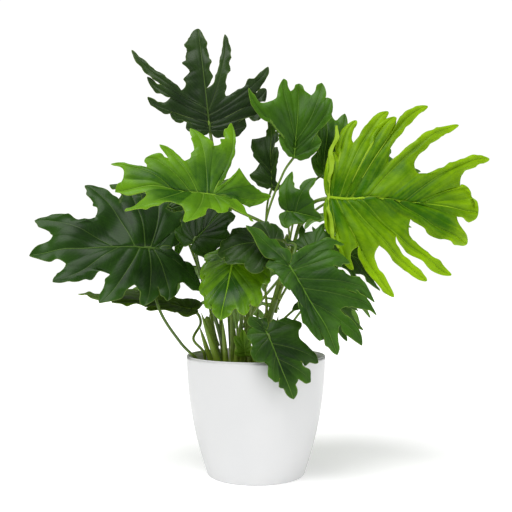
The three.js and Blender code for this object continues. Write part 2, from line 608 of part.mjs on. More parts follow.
    root: { soil: [-22, 46] }, stalk: [[-24, 60, 170], [-28, 80, 198]],
  }),
  leaf_back_low_right: hiddenLeaf(26, 4, {
    at: [88, 76, 216], heading: [0.75, 0.5, -0.4], face: [0.35, 0.3, 0.88],
    length: 78, arch: 28, fold: 6, roll: -18, thick: 3, color: 0x3b6020,
    root: { soil: [28, 30] }, stalk: [[42, 44, 170], [74, 66, 208]],
  }),
};

// Young leaves still rolled up: pale spears that stand among the stalks
const SPEARS = {
  spear_front: { root: [-30, -20], path: [[-30, -20, 134], [-29, -24, 160]], radius: 2.6, color: 0x9cb560 },
  spear_tall: { root: [-8, 12], path: [[-8, 12, 150], [-4, 8, 236]], radius: 2.2, color: 0x7f9f3c },
};

// Building it all
let soil = soilSolid();
function plantInSoil(points, radiusAt, sides, steps) {
  const foot = points[0].clone();
  foot.z -= GAP;
  const holeRadius = (along) => radiusAt(along) + GAP / Math.cos(Math.PI / sides);
  soil = soil.subtract(stalkSolid([foot, ...points.slice(1)], holeRadius, sides, steps));
}

for (const [name, stem] of Object.entries(STEMS)) {
  const points = stem.path.map(vector);
  const radiusAt = (along) => stemRadius(name, along);
  const solid = stalkSolid(points, radiusAt, STEM_SIDES, STEM_STEPS);
  addPiece(name, toGeometry(solid), material(stem.color, 0.6));
  plantInSoil(points, radiusAt, STEM_SIDES, STEM_STEPS);
}

for (const [name, leaf] of Object.entries(LEAVES)) {
  const stalk = leafStalk(leaf);
  addPiece(name, toGeometry(bladeSolid(leaf).add(stalk.solid)), material(leaf.color, 0.42));
  if (leaf.root.soil) plantInSoil(stalk.points, stalk.radiusAt, STALK_SIDES, stalk.steps);
}

for (const [name, spear] of Object.entries(SPEARS)) {
  const [x, y] = spear.root;
  const points = [new THREE.Vector3(x, y, SOIL_CROWN - ROOT_DEPTH), ...spear.path.map(vector)];
  const radiusAt = (along) => spear.radius * (1 - 0.85 * along ** 2.5);
  const solid = stalkSolid(points, radiusAt, STALK_SIDES, STEM_STEPS);
  addPiece(name, toGeometry(solid), material(spear.color, 0.5));
  plantInSoil(points, radiusAt, STALK_SIDES, STEM_STEPS);
}

addPiece('soil', toGeometry(soil), material(0x3a2a1e, 0.95));
addPiece('pot', potGeometry(), material(0xf4f4f2, 0.35));

export default plant;
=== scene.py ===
import json
import math

import bpy
import numpy as np
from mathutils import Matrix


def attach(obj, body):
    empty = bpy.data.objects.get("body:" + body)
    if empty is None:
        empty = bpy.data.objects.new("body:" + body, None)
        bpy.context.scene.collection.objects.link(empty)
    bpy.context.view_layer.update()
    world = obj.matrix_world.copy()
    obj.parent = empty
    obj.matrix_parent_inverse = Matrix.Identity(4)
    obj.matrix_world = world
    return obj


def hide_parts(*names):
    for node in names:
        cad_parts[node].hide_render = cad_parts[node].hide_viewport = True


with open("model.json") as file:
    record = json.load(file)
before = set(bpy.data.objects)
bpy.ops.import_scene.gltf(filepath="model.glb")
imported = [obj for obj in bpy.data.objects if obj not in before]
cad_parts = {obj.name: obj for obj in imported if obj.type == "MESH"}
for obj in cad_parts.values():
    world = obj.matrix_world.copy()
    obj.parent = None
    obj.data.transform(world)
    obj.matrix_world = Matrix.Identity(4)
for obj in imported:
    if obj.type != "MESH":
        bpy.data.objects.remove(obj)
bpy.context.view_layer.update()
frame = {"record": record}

# Studio. A wide pale floor in white surroundings, one large soft light high at the left front and a
# weak one at the right. The camera stands level, at about half of the plant's height, 0.95 m away.
scene = bpy.context.scene
scene.view_settings.view_transform = "Standard"
FRAME_WIDTH = 36.0
CAMERA_LENS = 56.2
CAMERA_PLACE = (0.0, -0.95, 0.246)
HORIZON_SHIFT = 10 / 512
camera = bpy.data.objects.new("camera", bpy.data.cameras.new("camera"))
camera.location = CAMERA_PLACE
camera.rotation_euler = (math.pi / 2, 0, 0)
camera.data.lens = CAMERA_LENS
camera.data.sensor_width = FRAME_WIDTH
camera.data.shift_y = HORIZON_SHIFT
scene.collection.objects.link(camera)
scene.camera = camera

world = bpy.data.worlds.new("white_surroundings")
world.use_nodes = True
world.node_tree.nodes["Background"].inputs["Color"].default_value = (1, 1, 1, 1)
scene.world = world
WHITE_SEEN = 1.05
WHITE_LIGHT = 0.24


def soft_sun(name, way, spread, strength):
    """A broad, even light whose rays run along a direction: its own -Z is turned to that direction."""
    lamp = bpy.data.lights.new(name, "SUN")
    lamp.angle = math.radians(spread)
    lamp.energy = strength
    holder = bpy.data.objects.new(name, lamp)
    holder.rotation_euler = (math.atan2(math.hypot(way[0], way[1]), -way[2]), 0,
                             math.atan2(way[1], way[0]) - math.pi / 2)
    scene.collection.objects.link(holder)


soft_sun("key_light", way=(0.36, 0.4, -1.2), spread=52, strength=3.2)
soft_sun("fill_light", way=(-0.8, 0.5, -0.45), spread=40, strength=0.8)


def fill_sockets(tree, node, values):
    """Sets a node's inputs: an output socket is linked, anything else becomes the socket's value."""
    for socket, value in values.items():
        if isinstance(value, bpy.types.NodeSocket):
            tree.links.new(value, node.inputs[socket])
        else:
            node.inputs[socket].default_value = value


def add_node(tree, kind, values=None, **settings):
    """A new shader node with its settings and input values."""
    node = tree.nodes.new(kind)
    for setting, value in settings.items():
        setattr(node, setting, value)
    fill_sockets(tree, node, values or {})
    return node


def color_mix(tree, factor, first, second):
    """The colour between two, by a factor. The node's sockets 0, 6 and 7 are its factor and colours."""
    values = {0: factor, 6: first, 7: second}
    return add_node(tree, "ShaderNodeMix", values, data_type="RGBA").outputs[2]


def spread_over(tree, value, low, high):
    """A value from 0 to 1 carried evenly to the range between two others."""
    values = {"Value": value, "To Min": low, "To Max": high}
    return add_node(tree, "ShaderNodeMapRange", values).outputs["Result"]


def bump_normal(tree, height, strength, distance):
    """The surface's normal, tilted by a height of that strength over a distance in metres."""
    values = {"Height": height, "Strength": strength, "Distance": distance}
    return add_node(tree, "ShaderNodeBump", values).outputs["Normal"]


def object_place(tree):
    """The object's own coordinates."""
    return add_node(tree, "ShaderNodeTexCoord").outputs["Object"]


def pigment(red, green, blue):
    """A colour given as screen values from 0 to 255, made linear: ((c + 0.055) / 1.055) ** 2.4."""
    shades = [c / 255 for c in (red, green, blue)]
    return (*[c / 12.92 if c <= 0.04045 else ((c + 0.055) / 1.055) ** 2.4 for c in shades], 1)


def new_finish(name, **values):
    """A material with its Principled shader's constant sockets set, its node tree and that shader."""
    finish = bpy.data.materials.new(name)
    finish.use_nodes = True
    shader = finish.node_tree.nodes["Principled BSDF"]
    fill_sockets(finish.node_tree, shader, {key.replace("_", " "): v for key, v in values.items()})
    return finish, finish.node_tree, shader


def noise(tree, coordinates, scale, detail=2.0, roughness=0.5):
    """A noise texture's plain value over the given coordinates."""
    values = {"Vector": coordinates, "Scale": scale, "Detail": detail, "Roughness": roughness}
    return add_node(tree, "ShaderNodeTexNoise", values).outputs["Fac"]


seen = add_node(world.node_tree, "ShaderNodeLightPath").outputs["Is Camera Ray"]
fill_sockets(world.node_tree, world.node_tree.nodes["Background"],
             {"Strength": spread_over(world.node_tree, seen, WHITE_LIGHT, WHITE_SEEN)})

FLOOR_HALF = 6.0
floor_mesh = bpy.data.meshes.new("floor")
floor_corners = [(x * FLOOR_HALF, y * FLOOR_HALF, 0) for x, y in ((-1, -1), (1, -1), (1, 1), (-1, 1))]
floor_mesh.from_pydata(floor_corners, [], [(0, 1, 2, 3)])
floor = bpy.data.objects.new("floor", floor_mesh)
scene.collection.objects.link(floor)
floor_finish, floor_tree, floor_shader = new_finish("pale_floor", Roughness=0.8, Emission_Strength=0.31,
                                                    Emission_Color=(1, 1, 1, 1))
floor_cloud = noise(floor_tree, object_place(floor_tree), 3.0)
floor_shade = color_mix(floor_tree, floor_cloud, (0.93, 0.93, 0.93, 1), (0.95, 0.95, 0.95, 1))
fill_sockets(floor_tree, floor_shader, {"Base Color": floor_shade})
floor_mesh.materials.append(floor_finish)


# Pot. A cover pot turned in one piece with a thin wall and a rolled rim, glazed a smooth satin white.
# Its side swells from a small foot to an upright rim, and it stands on a flat foot ring.
MM = 0.001
POT_HEIGHT = 141.0
POT_RIM = 82.0
POT_FOOT = 57.0
POT_EDGE = 3.5
POT_WALL = 2.4
POT_LIP = 0.8
POT_FLOOR = 4.0
POT_FILLET = 3.0
POT_HOLLOW = 0.9
POT_SIDES = 160
FOOT_RING = 4.0  # width of the ring that it stands on


def pot_radius(z):
    """Outer radius at a height: the rim's, less the foot's set-back times the square of the part above."""
    return POT_RIM - (POT_RIM - POT_FOOT) * (1 - z / POT_HEIGHT) ** 2


def corner(centre_r, centre_z, radius, start, end, count):
    """Points of a rounded corner in the profile's plane, from one angle to another in degrees."""
    q = np.radians(np.linspace(start, end, count))
    return np.stack([centre_r + radius * np.cos(q), centre_z + radius * np.sin(q)], axis=1)


def ring_faces(rows, sides):
    """Triangles between closed rings of points, row upon row, and from the first and the last ring to
    the two points that close them. Those two follow the rings in the list of points."""
    index = np.arange(rows * sides).reshape(rows, sides)
    after = np.roll(index, -1, axis=1)
    a, b, c, d = (part.ravel() for part in (index[:-1], after[:-1], after[1:], index[1:]))
    end = np.full(sides, rows * sides)
    return np.concatenate([np.stack(three, axis=1) for three in (
        (a, b, c), (a, c, d), (after[0], index[0], end), (index[-1], after[-1], end + 1))])


def turned(profile, sides):
    """A profile of (radius, height) carried once round the vertical axis: x = r cos q, y = r sin q.
    Its first and last points lie on the axis and are closed there as single points."""
    q = np.linspace(0, 2 * math.pi, sides, endpoint=False)
    r, z = profile[1:-1, :, None].transpose(1, 0, 2)
    rings = np.stack([r * np.cos(q), r * np.sin(q), z + 0 * q], axis=2)
    poles = [[0, 0, profile[0][1]], [0, 0, profile[-1][1]]]
    return np.concatenate([rings.reshape(-1, 3), poles]), ring_faces(len(r), sides)


def add_piece(name, points, triangles, finishes, slot, replaced, looks=None, marks=None):
    """Makes one piece from arrays in millimetres: its mesh in metres, its finishes, the marks that its
    finishes read, and its place on the frame."""
    mesh = bpy.data.meshes.new(name)
    mesh.from_pydata((points * MM).tolist(), [], triangles.tolist())
    for finish in finishes:
        mesh.materials.append(finish)
    if looks is not None:
        mesh.polygons.foreach_set("material_index", looks)
    for mark, values in (marks or {}).items():
        layer = mesh.attributes.new(mark, "FLOAT_VECTOR", "POINT")
        layer.data.foreach_set("vector", np.asarray(values, float).ravel())
    mesh.shade_smooth()
    mesh.update()
    piece = bpy.data.objects.new(name, mesh)
    scene.collection.objects.link(piece)
    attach(piece, "root")
    if replaced:
        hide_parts(*replaced)


def pot_profile():
    """The pot's section from the middle of its hollow underside over the foot ring, up the outside, over
    the rim's half circle and down inside to the floor."""
    foot = pot_radius(POT_EDGE) - POT_EDGE
    ring_out = foot - 0.5
    ring_in = ring_out - FOOT_RING
    lip = POT_HEIGHT - POT_LIP
    up = np.linspace(POT_EDGE, lip, 40)
    down = np.linspace(lip, POT_FLOOR + POT_FILLET, 30)
    half_wall = POT_WALL / 2
    return np.concatenate([
        [[0, POT_HOLLOW], [ring_in - 1.5, POT_HOLLOW], [ring_in, 0], [ring_out, 0]],
        corner(foot, POT_EDGE, POT_EDGE, -88, -8, 9),
        np.stack([pot_radius(up), up], axis=1),
        corner(POT_RIM - half_wall, POT_HEIGHT - half_wall, half_wall, 12, 168, 9),
        np.stack([pot_radius(down) - POT_WALL, down], axis=1),
        [[pot_radius(POT_FLOOR) - POT_WALL - POT_FILLET, POT_FLOOR], [0, POT_FLOOR]]])


def glaze(name, dark, light):
    """White glaze between two pale greys, with a faint unevenness in colour, gloss and surface."""
    finish, tree, shader = new_finish(name, Coat_Weight=0.25, Coat_Roughness=0.22)
    place = object_place(tree)
    cloud = noise(tree, place, 14.0, 3.0)
    fill_sockets(tree, shader, {
        "Base Color": color_mix(tree, cloud, pigment(*dark), pigment(*light)),
        "Roughness": spread_over(tree, noise(tree, place, 60.0, 3.0), 0.36, 0.5),
        "Normal": bump_normal(tree, noise(tree, place, 240.0, 4.0), 0.05, 0.001)})
    return finish


pot_points, pot_triangles = turned(pot_profile(), POT_SIDES)
pot_x, pot_y, pot_z = pot_points[pot_triangles].mean(axis=1).T
# The inside wall gets a paler copy of the glaze: painted light that stands in for the light the leaves' shade
# takes from it.
pot_inside = (np.hypot(pot_x, pot_y) < pot_radius(pot_z) - POT_WALL / 2) & (pot_z > POT_FLOOR - 1)
add_piece("pot_shell", pot_points, pot_triangles,
          [glaze("white_glaze", (204, 205, 206), (212, 212, 212)),
           glaze("inner_glaze_painted_light", (236, 236, 236), (244, 244, 244))],
          "pot", ["pot"], pot_inside.astype(int))


# Soil. Dark potting mix that fills the pot to a finger's width below the rim, a little higher round
# the stems, with a crumbly top. Bark chips and pale grains of perlite lie in its surface.
SOIL_EDGE = 122.0
SOIL_CROWN = 127.0
SOIL_SPACE = 0.55
SOIL_LIFT = 0.3


def ripple(x, y, scale, seed):
    """A smooth random height between about -1 and 1: the sum of twelve sine waves across the plane
    whose directions, lengths and phases are drawn from a seed."""
    draw = np.random.default_rng(seed)
    angle, phase = draw.uniform(0, 2 * math.pi, (2, 12))
    rate = scale * draw.uniform(0.6, 1.8, 12)
    waves = np.sin(rate * (x[..., None] * np.cos(angle) + y[..., None] * np.sin(angle)) + phase)
    return waves.sum(axis=-1) / 4.5


def soil_height(x, y):
    """Height of the soil's top: a low mound from edge to crown with crumbs of two sizes."""
    edge = pot_radius(SOIL_EDGE) - POT_WALL - SOIL_SPACE
    part = np.clip(np.hypot(x, y) / edge, 0, 1)
    mound = SOIL_EDGE + (SOIL_CROWN - SOIL_EDGE) * (1 - part ** 2.2)
    return mound - 0.6 + 0.55 * ripple(x, y, 0.35, 5) + 0.5 * ripple(x, y, 1.3, 6)


def soil_surface(rings, sides):
    """A flat underside, a plain side close to the pot's wall, then rings that narrow to the middle of the
    top: a turned body, whose top is then set to soil_height."""
    inset = POT_WALL + SOIL_SPACE
    bottom = POT_FLOOR + SOIL_LIFT
    low = np.linspace(bottom, SOIL_EDGE - 2, 8)
    top = (pot_radius(SOIL_EDGE) - inset) * np.linspace(1, 0, rings + 1)
    profile = [[[0, bottom]], np.stack([pot_radius(low) - inset, low], axis=1),
               np.stack([top, np.full_like(top, SOIL_CROWN)], axis=1)]
    points, triangles = turned(np.concatenate(profile), sides)
    upper = points[:, 2] == SOIL_CROWN
    points[upper, 2] = soil_height(*points[upper, :2].T)
    return points, triangles


def rotated(x, y, angle):
    """A pair of coordinates turned about their origin: x cos q - y sin q, y cos q + x sin q."""
    return x * np.cos(angle) - y * np.sin(angle), y * np.cos(angle) + x * np.sin(angle)


def chips(count, size, flatness, seed):
    """Small lumps strewn over the soil: a cube's eight corners pushed to a random block, turned about
    the vertical and laid at the soil's height, each with its own size."""
    draw = np.random.default_rng(seed)
    cube = np.array([[x, y, z] for x in (-1, 1) for y in (-1, 1) for z in (-1, 1)], float)
    corners = cube * (1 + 0.3 * draw.uniform(-1, 1, (count, 8, 3)))
    corners *= (size * draw.uniform(0.5, 1.3, (count, 1, 3))) * [1, 0.6, flatness]
    turn, tilt = draw.uniform(0, math.pi, (count, 1)), draw.uniform(-0.5, 0.5, (count, 1))
    z, x = rotated(corners[..., 2], corners[..., 0], tilt)
    x, y = rotated(x, corners[..., 1], turn)
    far = (pot_radius(SOIL_EDGE) - 9) * np.sqrt(draw.uniform(0, 1, count))
    q = draw.uniform(0, 2 * math.pi, count)
    place = np.stack([far * np.cos(q), far * np.sin(q), soil_height(far * np.cos(q), far * np.sin(q)) + 0.2])
    box = [[0, 1, 3], [0, 3, 2], [4, 6, 7], [4, 7, 5], [0, 4, 5], [0, 5, 1],
           [2, 3, 7], [2, 7, 6], [0, 2, 6], [0, 6, 4], [1, 5, 7], [1, 7, 3]]
    triangles = np.array(box)[None] + 8 * np.arange(count)[:, None, None]
    return (np.stack([x, y, z], axis=2) + place.T[:, None]).reshape(-1, 3), triangles.reshape(-1, 3)


def grainy_finish(name, dark, light, grain, rough, relief):
    """A dry finish mottled between two colours by one grain, which also sets how rough it is and tilts
    its surface. The grain is given by its scale, detail and roughness."""
    finish, tree, shader = new_finish(name)
    value = noise(tree, object_place(tree), *grain)
    fill_sockets(tree, shader, {"Base Color": color_mix(tree, value, pigment(*dark), pigment(*light)),
                                "Roughness": spread_over(tree, value, *rough),
                                "Normal": bump_normal(tree, value, relief, 0.0015)})
    return finish


soil_finish = grainy_finish("potting_mix", (38, 26, 19), (92, 68, 50), (420.0, 6.0, 0.7), (0.85, 1.0), 0.8)
bark_finish = grainy_finish("bark", (66, 42, 26), (122, 86, 56), (300.0, 4.0), (0.75, 0.95), 0.0)
perlite_finish = grainy_finish("perlite", (196, 192, 182), (232, 230, 224), (500.0, 4.0), (0.75, 0.95), 0.0)
add_piece("soil_fill", *soil_surface(rings=56, sides=150), [soil_finish], "soil", ["soil"])
add_piece("bark_chips", *chips(count=220, size=3.0, flatness=0.45, seed=21), [bark_finish], "soil", [])
add_piece("perlite_grains", *chips(count=90, size=1.4, flatness=0.8, seed=22), [perlite_finish], "soil", [])


# Crown stems. Green, slightly woody shoots that stand in the soil and carry the upper leaves. They are
# ringed by the scars of old leaves, and yellower at the foot.
STEM_FOOT = 1.12
STEM_TAPER = 0.3
STEM_RINGS = 9
STEM_END = [0.97, 0.9, 0.76, 0.52, 0.2]  # how its last rings close over the top
FOOT_FADE = (22.0, 60.0)  # lengths along a stalk between which its foot's colour fades
STEMS = {  # radius, points from below the soil to the top
    "stem_tall": (4.2, [[4, 4, 100], [5, 4, 134], [14, 3, 177], [26, 2, 217], [34, 2, 250], [37, 2, 284]]),
    "stem_left": (4.6, [[-44, 0, 100], [-45, 0, 134], [-52, 2, 160], [-59, 5, 186]]),
    "stem_back": (3.8, [[-14, 30, 100], [-14, 31, 134], [-10, 36, 180], [-4, 42, 236]]),
}


def smooth_path(knots, count):
    """A Catmull-Rom curve through the knots, its ends prolonged by mirrored points, read at equal
    lengths. Between p1 and p2 it is half of 2 p1 + (p2 - p0) t + (2 p0 - 5 p1 + 4 p2 - p3) t^2
    + (3 p1 - p0 - 3 p2 + p3) t^3."""
    k = np.asarray(knots, float)
    k = np.vstack([2 * k[0] - k[1], k, 2 * k[-1] - k[-2]])
    t = np.linspace(0, 1, 40, endpoint=False)[:, None]
    p0, p1, p2, p3 = (k[i:len(k) - 3 + i, None] for i in range(4))
    dense = 0.5 * (2 * p1 + (p2 - p0) * t + (2 * p0 - 5 * p1 + 4 * p2 - p3) * t ** 2
                   + (3 * p1 - p0 - 3 * p2 + p3) * t ** 3)
    dense = np.vstack([dense.reshape(-1, 3), k[-2]])
    far = np.append(0, np.cumsum(np.linalg.norm(np.diff(dense, axis=0), axis=1)))
    want = np.linspace(0, far[-1], count)
    return np.stack([np.interp(want, far, dense[:, i]) for i in range(3)], axis=1)


def unit(v):
    """Vectors along the last axis at length one."""
    return v / np.maximum(np.linalg.norm(v, axis=-1, keepdims=True), 1e-9)


def tube(path, radii, sides):
    """A round section carried along a path: centre + radius (cos q * side + sin q * up), where side is
    the direction least turned to by the path, made square to it. A point closes each end. Returns the
    points, the triangles and the marks (length along, cos q, sin q) of each point."""
    ahead = unit(np.gradient(path, axis=0))
    across = np.linalg.svd(ahead, full_matrices=False)[2][-1]
    side = unit(across - (ahead @ across)[:, None] * ahead)
    up = np.cross(ahead, side)
    q = np.linspace(0, 2 * math.pi, sides, endpoint=False)[None, :, None]
    rings = path[:, None] + radii[:, None, None] * (np.cos(q) * side[:, None] + np.sin(q) * up[:, None])
    far = np.append(0, np.cumsum(np.linalg.norm(np.diff(path, axis=0), axis=1)))
    marks = np.stack(np.broadcast_arrays(far[:, None], np.cos(q[..., 0]), np.sin(q[..., 0])), axis=2)
    points = np.concatenate([rings.reshape(-1, 3), path[:1], path[-1:]])
    marks = np.concatenate([marks.reshape(-1, 3), [[0, 0, 0], [far[-1], 0, 0]]])
    return points, ring_faces(len(path), sides), marks


def stalk_finish(name, dark, light, foot_color):
    """Smooth green stalk: fine streaks along it, a slow change between two greens, and another colour
    in its first centimetres. It reads the marks (length along in mm, cos q, sin q) of its tube."""
    finish, tree, shader = new_finish(name, Coat_Weight=0.12, Coat_Roughness=0.35)
    marks = add_node(tree, "ShaderNodeAttribute", attribute_name="course").outputs["Vector"]
    length = add_node(tree, "ShaderNodeSeparateXYZ", {"Vector": marks}).outputs["X"]
    stretched = add_node(tree, "ShaderNodeVectorMath", {0: marks, 1: (0.02, 2.2, 2.2)}, operation="MULTIPLY")
    streaks = noise(tree, stretched.outputs["Vector"], 2.2, 3.0)
    cloud = noise(tree, object_place(tree), 26.0, 3.0)
    both = add_node(tree, "ShaderNodeMath", {0: streaks, 1: cloud}, operation="ADD")
    halved = add_node(tree, "ShaderNodeMath", {0: both.outputs[0], 1: 0.5}, operation="MULTIPLY")
    green = color_mix(tree, halved.outputs[0], pigment(*dark), pigment(*light))
    rise = add_node(tree, "ShaderNodeMapRange", {"Value": length, "From Min": FOOT_FADE[0],
                                                    "From Max": FOOT_FADE[1]})
    fill_sockets(tree, shader, {
        "Base Color": color_mix(tree, rise.outputs["Result"], pigment(*foot_color), green),
        "Roughness": spread_over(tree, cloud, 0.4, 0.56),
        "Normal": bump_normal(tree, streaks, 0.25, 0.0006)})
    return finish


def add_tube(name, knots, radii, sides, finish, slot, replaced, ridges=None):
    """One piece that is a tube along a smooth path. Where ridges are given, the distance of its points
    from the path is multiplied by that function of their marks."""
    path = smooth_path(knots, len(radii))
    points, triangles, marks = tube(path, radii, sides)
    if ridges:
        centre = np.repeat(path, sides, axis=0)
        points[:-2] = centre + (points[:-2] - centre) * ridges(marks[:-2])[:, None]
    add_piece(name, points, triangles, [finish], slot, replaced, marks={"course": marks})


stem_finish = stalk_finish("stem_green", (66, 94, 12), (128, 156, 40), (112, 132, 40))
stem_part = np.linspace(0, 1, 90)
leaf_scars = 0.97 + 0.09 * np.exp(-((stem_part * STEM_RINGS) % 1 / 0.16) ** 2) * (1 - stem_part ** 8)
leaf_scars[-len(STEM_END):] *= STEM_END
for stem_name, (stem_radius, stem_knots) in STEMS.items():
    stem_radii = stem_radius * (STEM_FOOT - STEM_TAPER * stem_part) * leaf_scars
    add_tube(stem_name + "_shoot", stem_knots, stem_radii, 20, stem_finish, "stem", [stem_name])


# Rolled young leaves. Pale green spears that stand upright among the stalks, each a blade still
# wound round itself. A spiral ridge shows where the rolled edge lies.
SPEARS = {  # place of the root, points above it, radius, darker and lighter colour
    "spear_front": ([-30, -20], [[-30, -20, 134], [-29, -24, 160]], 2.6, (168, 190, 104), (196, 212, 140)),
    "spear_tall": ([-8, 12], [[-8, 12, 150], [-4, 8, 236]], 2.2, (128, 158, 62), (170, 192, 100)),
}
ROOT_HEIGHT = SOIL_CROWN - 24
spear_form = 1 - 0.93 * np.linspace(0, 1, 70) ** 2.5


def spiral_ridge(marks):
    """How far the skin stands out at a mark: more where the turn less 0.05 radians per mm is near zero."""
    turn = np.arctan2(marks[:, 2], marks[:, 1])
    return 0.92 + 0.16 * np.clip(np.cos(turn - marks[:, 0] * 0.05), 0.6, 1)


for spear_name, (spear_root, spear_knots, spear_radius, spear_dark, spear_light) in SPEARS.items():
    spear_finish = stalk_finish(spear_name + "_skin", spear_dark, spear_light, spear_light)
    add_tube(spear_name + "_roll", [[*spear_root, ROOT_HEIGHT], *spear_knots], spear_radius * spear_form, 18,
             spear_finish, "spear", [spear_name], spiral_ridge)


# Sheaths. Pale green pointed sheaths stand round the stems at the soil; each wrapped a young leaf before
# it opened. They are soft and slightly ribbed, narrow to a soft point and are yellower at the foot.
SHEATHS = [  # foot x and y, tip x, y and z, radius
    [-43, -30, -63, -30, 192, 5.2], [-52, -12, -66, -18, 176, 4.2], [-34, -36, -38, -40, 184, 4.2],
    [-23, -38, -19, -40, 180, 4.0], [-17, -28, -2, -34, 200, 3.6], [-26, -25.5, -29, -30, 206, 3.8],
    [2, -24, 10, -26, 192, 4.6], [-38, 8, -44, 14, 200, 4.8], [-2.8, 16.5, 3, 22, 196, 5.0],
    [18, 12, 27, 18, 186, 4.4], [-24, 24, -30, 34, 190, 4.6], [12, -10, 19, -14, 178, 4.2]]
SHEATH_LEAN = 0.45
sheath_finish = stalk_finish("sheath_green", (60, 92, 8), (124, 154, 34), (128, 156, 40))
sheath_part = np.linspace(0, 1, 46)
sheath_form = (0.92 - 0.45 * sheath_part) * (1 - 0.9 * sheath_part ** 6)
for number, (foot_x, foot_y, tip_x, tip_y, tip_z, sheath_radius) in enumerate(SHEATHS, 1):
    sheath_knots = [[foot_x, foot_y, ROOT_HEIGHT + 16], [foot_x, foot_y, SOIL_CROWN + 4],
                    [(1 - SHEATH_LEAN) * foot_x + SHEATH_LEAN * tip_x,
                     (1 - SHEATH_LEAN) * foot_y + SHEATH_LEAN * tip_y, 0.5 * (SOIL_CROWN + tip_z)],
                    [tip_x, tip_y, tip_z]]
    add_tube(f"sheath_{number}", sheath_knots, sheath_radius * sheath_form, 18, sheath_finish, "stem", [])


# Leaves. Each is one growth of blade and stalk. The blade is a thin leathery sheet, cut into lobes
# round a midrib; a vein runs along each lobe. Veins lie sunk in the upper face and stand out below.
BLADE_THICK = 0.7
VEIN_WIDTH = 0.5
VEIN_BOW = 0.05
SWING_RATE = 0.085
START_LIMITS = (0.02, 0.94)
ROW_LIMITS = (18, 48)
HOOK_RANGE = (0.5, 1.3)
SMOOTH_SHARE = 0.25  # part of the lobes' margins without teeth
ROOT_STEP = 0.6  # least distance between the roots of two veins
NOTCH = 3.0  # how far the blade reaches back past the stalk
CURL = 0.1  # droop of a lobe's tip, in parts of its length
HOOK_START = 0.78
FILLET = 0.05  # rounding at the bottom of a cut
TOOTH_TOP = 0.8
FLAP_TURN = 1.8  # radius of the rolled margin's turn
ROLL_WAVES = (33, 15, 26, 12, 41)
STEM_GAP = 0.3
STALK_FLARE = 0.5  # how much wider the stalk is at its foot
FLARE_PART = 0.22
FLARE_RISE = 14.0
FLARE_SNUG = 0.96
STALK_STEP = 2.6
STALK_THIN = 0.75  # how much thinner it gets under the blade
KEEL_PART = 0.28  # part of the midrib that the stalk runs along
KNEE = 0.14  # swelling just before the blade
KNEE_PART = 0.03
RIB_END = 0.45
BODY_ROWS = 9
ROW_STEP = 3.0
ACROSS = np.array([0, 0.08, 0.22, 0.4, 0.58, 0.76, 0.9, 1])


def leaf_axes(leaf):
    """The leaf's own axes as rows: x along the midrib, y to its left, z out of its upper face."""
    x = unit(np.array(leaf["heading"], float))
    z = np.array(leaf["face"], float)
    z = unit(z - (z @ x) * x)
    return np.stack([x, np.cross(z, x), z])


def swing_height(leaf, u, v):
    """Slow rise and fall of the whole blade, the same for both halves: ripple times the leaf's swing."""
    return leaf["swing"] * ripple(u, v, SWING_RATE, int(leaf["length"]))


def spine_drop(leaf, u):
    """Height of the midrib over the flat leaf: the swing, and the droop of the end lobe beyond the last
    lobe's root, -CURL reach a^2."""
    reach = leaf["length"] - leaf["last"]
    a = np.clip((u - leaf["last"]) / reach, 0, 1)
    return swing_height(leaf, u, 0 * u) - CURL * reach * a ** 2


def bend(leaf, u, v, h):
    """Flat leaf to bent leaf in the part's frame. Aside of the midrib the blade rises at the angle fold
    and rolls on by roll over a leaf's length; along it the midrib arches by arch over its length. Of the
    height h, the midrib's own part goes straight up and the rest square to the tilted blade."""
    side = np.sign(v)
    roll = math.radians(leaf["roll"]) / leaf["length"]
    fold = math.radians(leaf["fold"])
    slope = fold + roll * np.abs(v)
    drop = spine_drop(leaf, u)
    y = side * ((np.sin(slope) - math.sin(fold)) / roll - np.sin(slope) * (h - drop))
    above = (math.cos(fold) - np.cos(slope)) / roll + np.cos(slope) * (h - drop) + drop
    arch = math.radians(leaf["arch"]) / leaf["length"]
    nod = arch * u
    x = np.sin(nod) / arch + np.sin(nod) * above
    z = (np.cos(nod) - 1) / arch + np.cos(nod) * above
    return np.array(leaf["at"], float) + np.stack([x, y, z], axis=-1) @ leaf_axes(leaf)


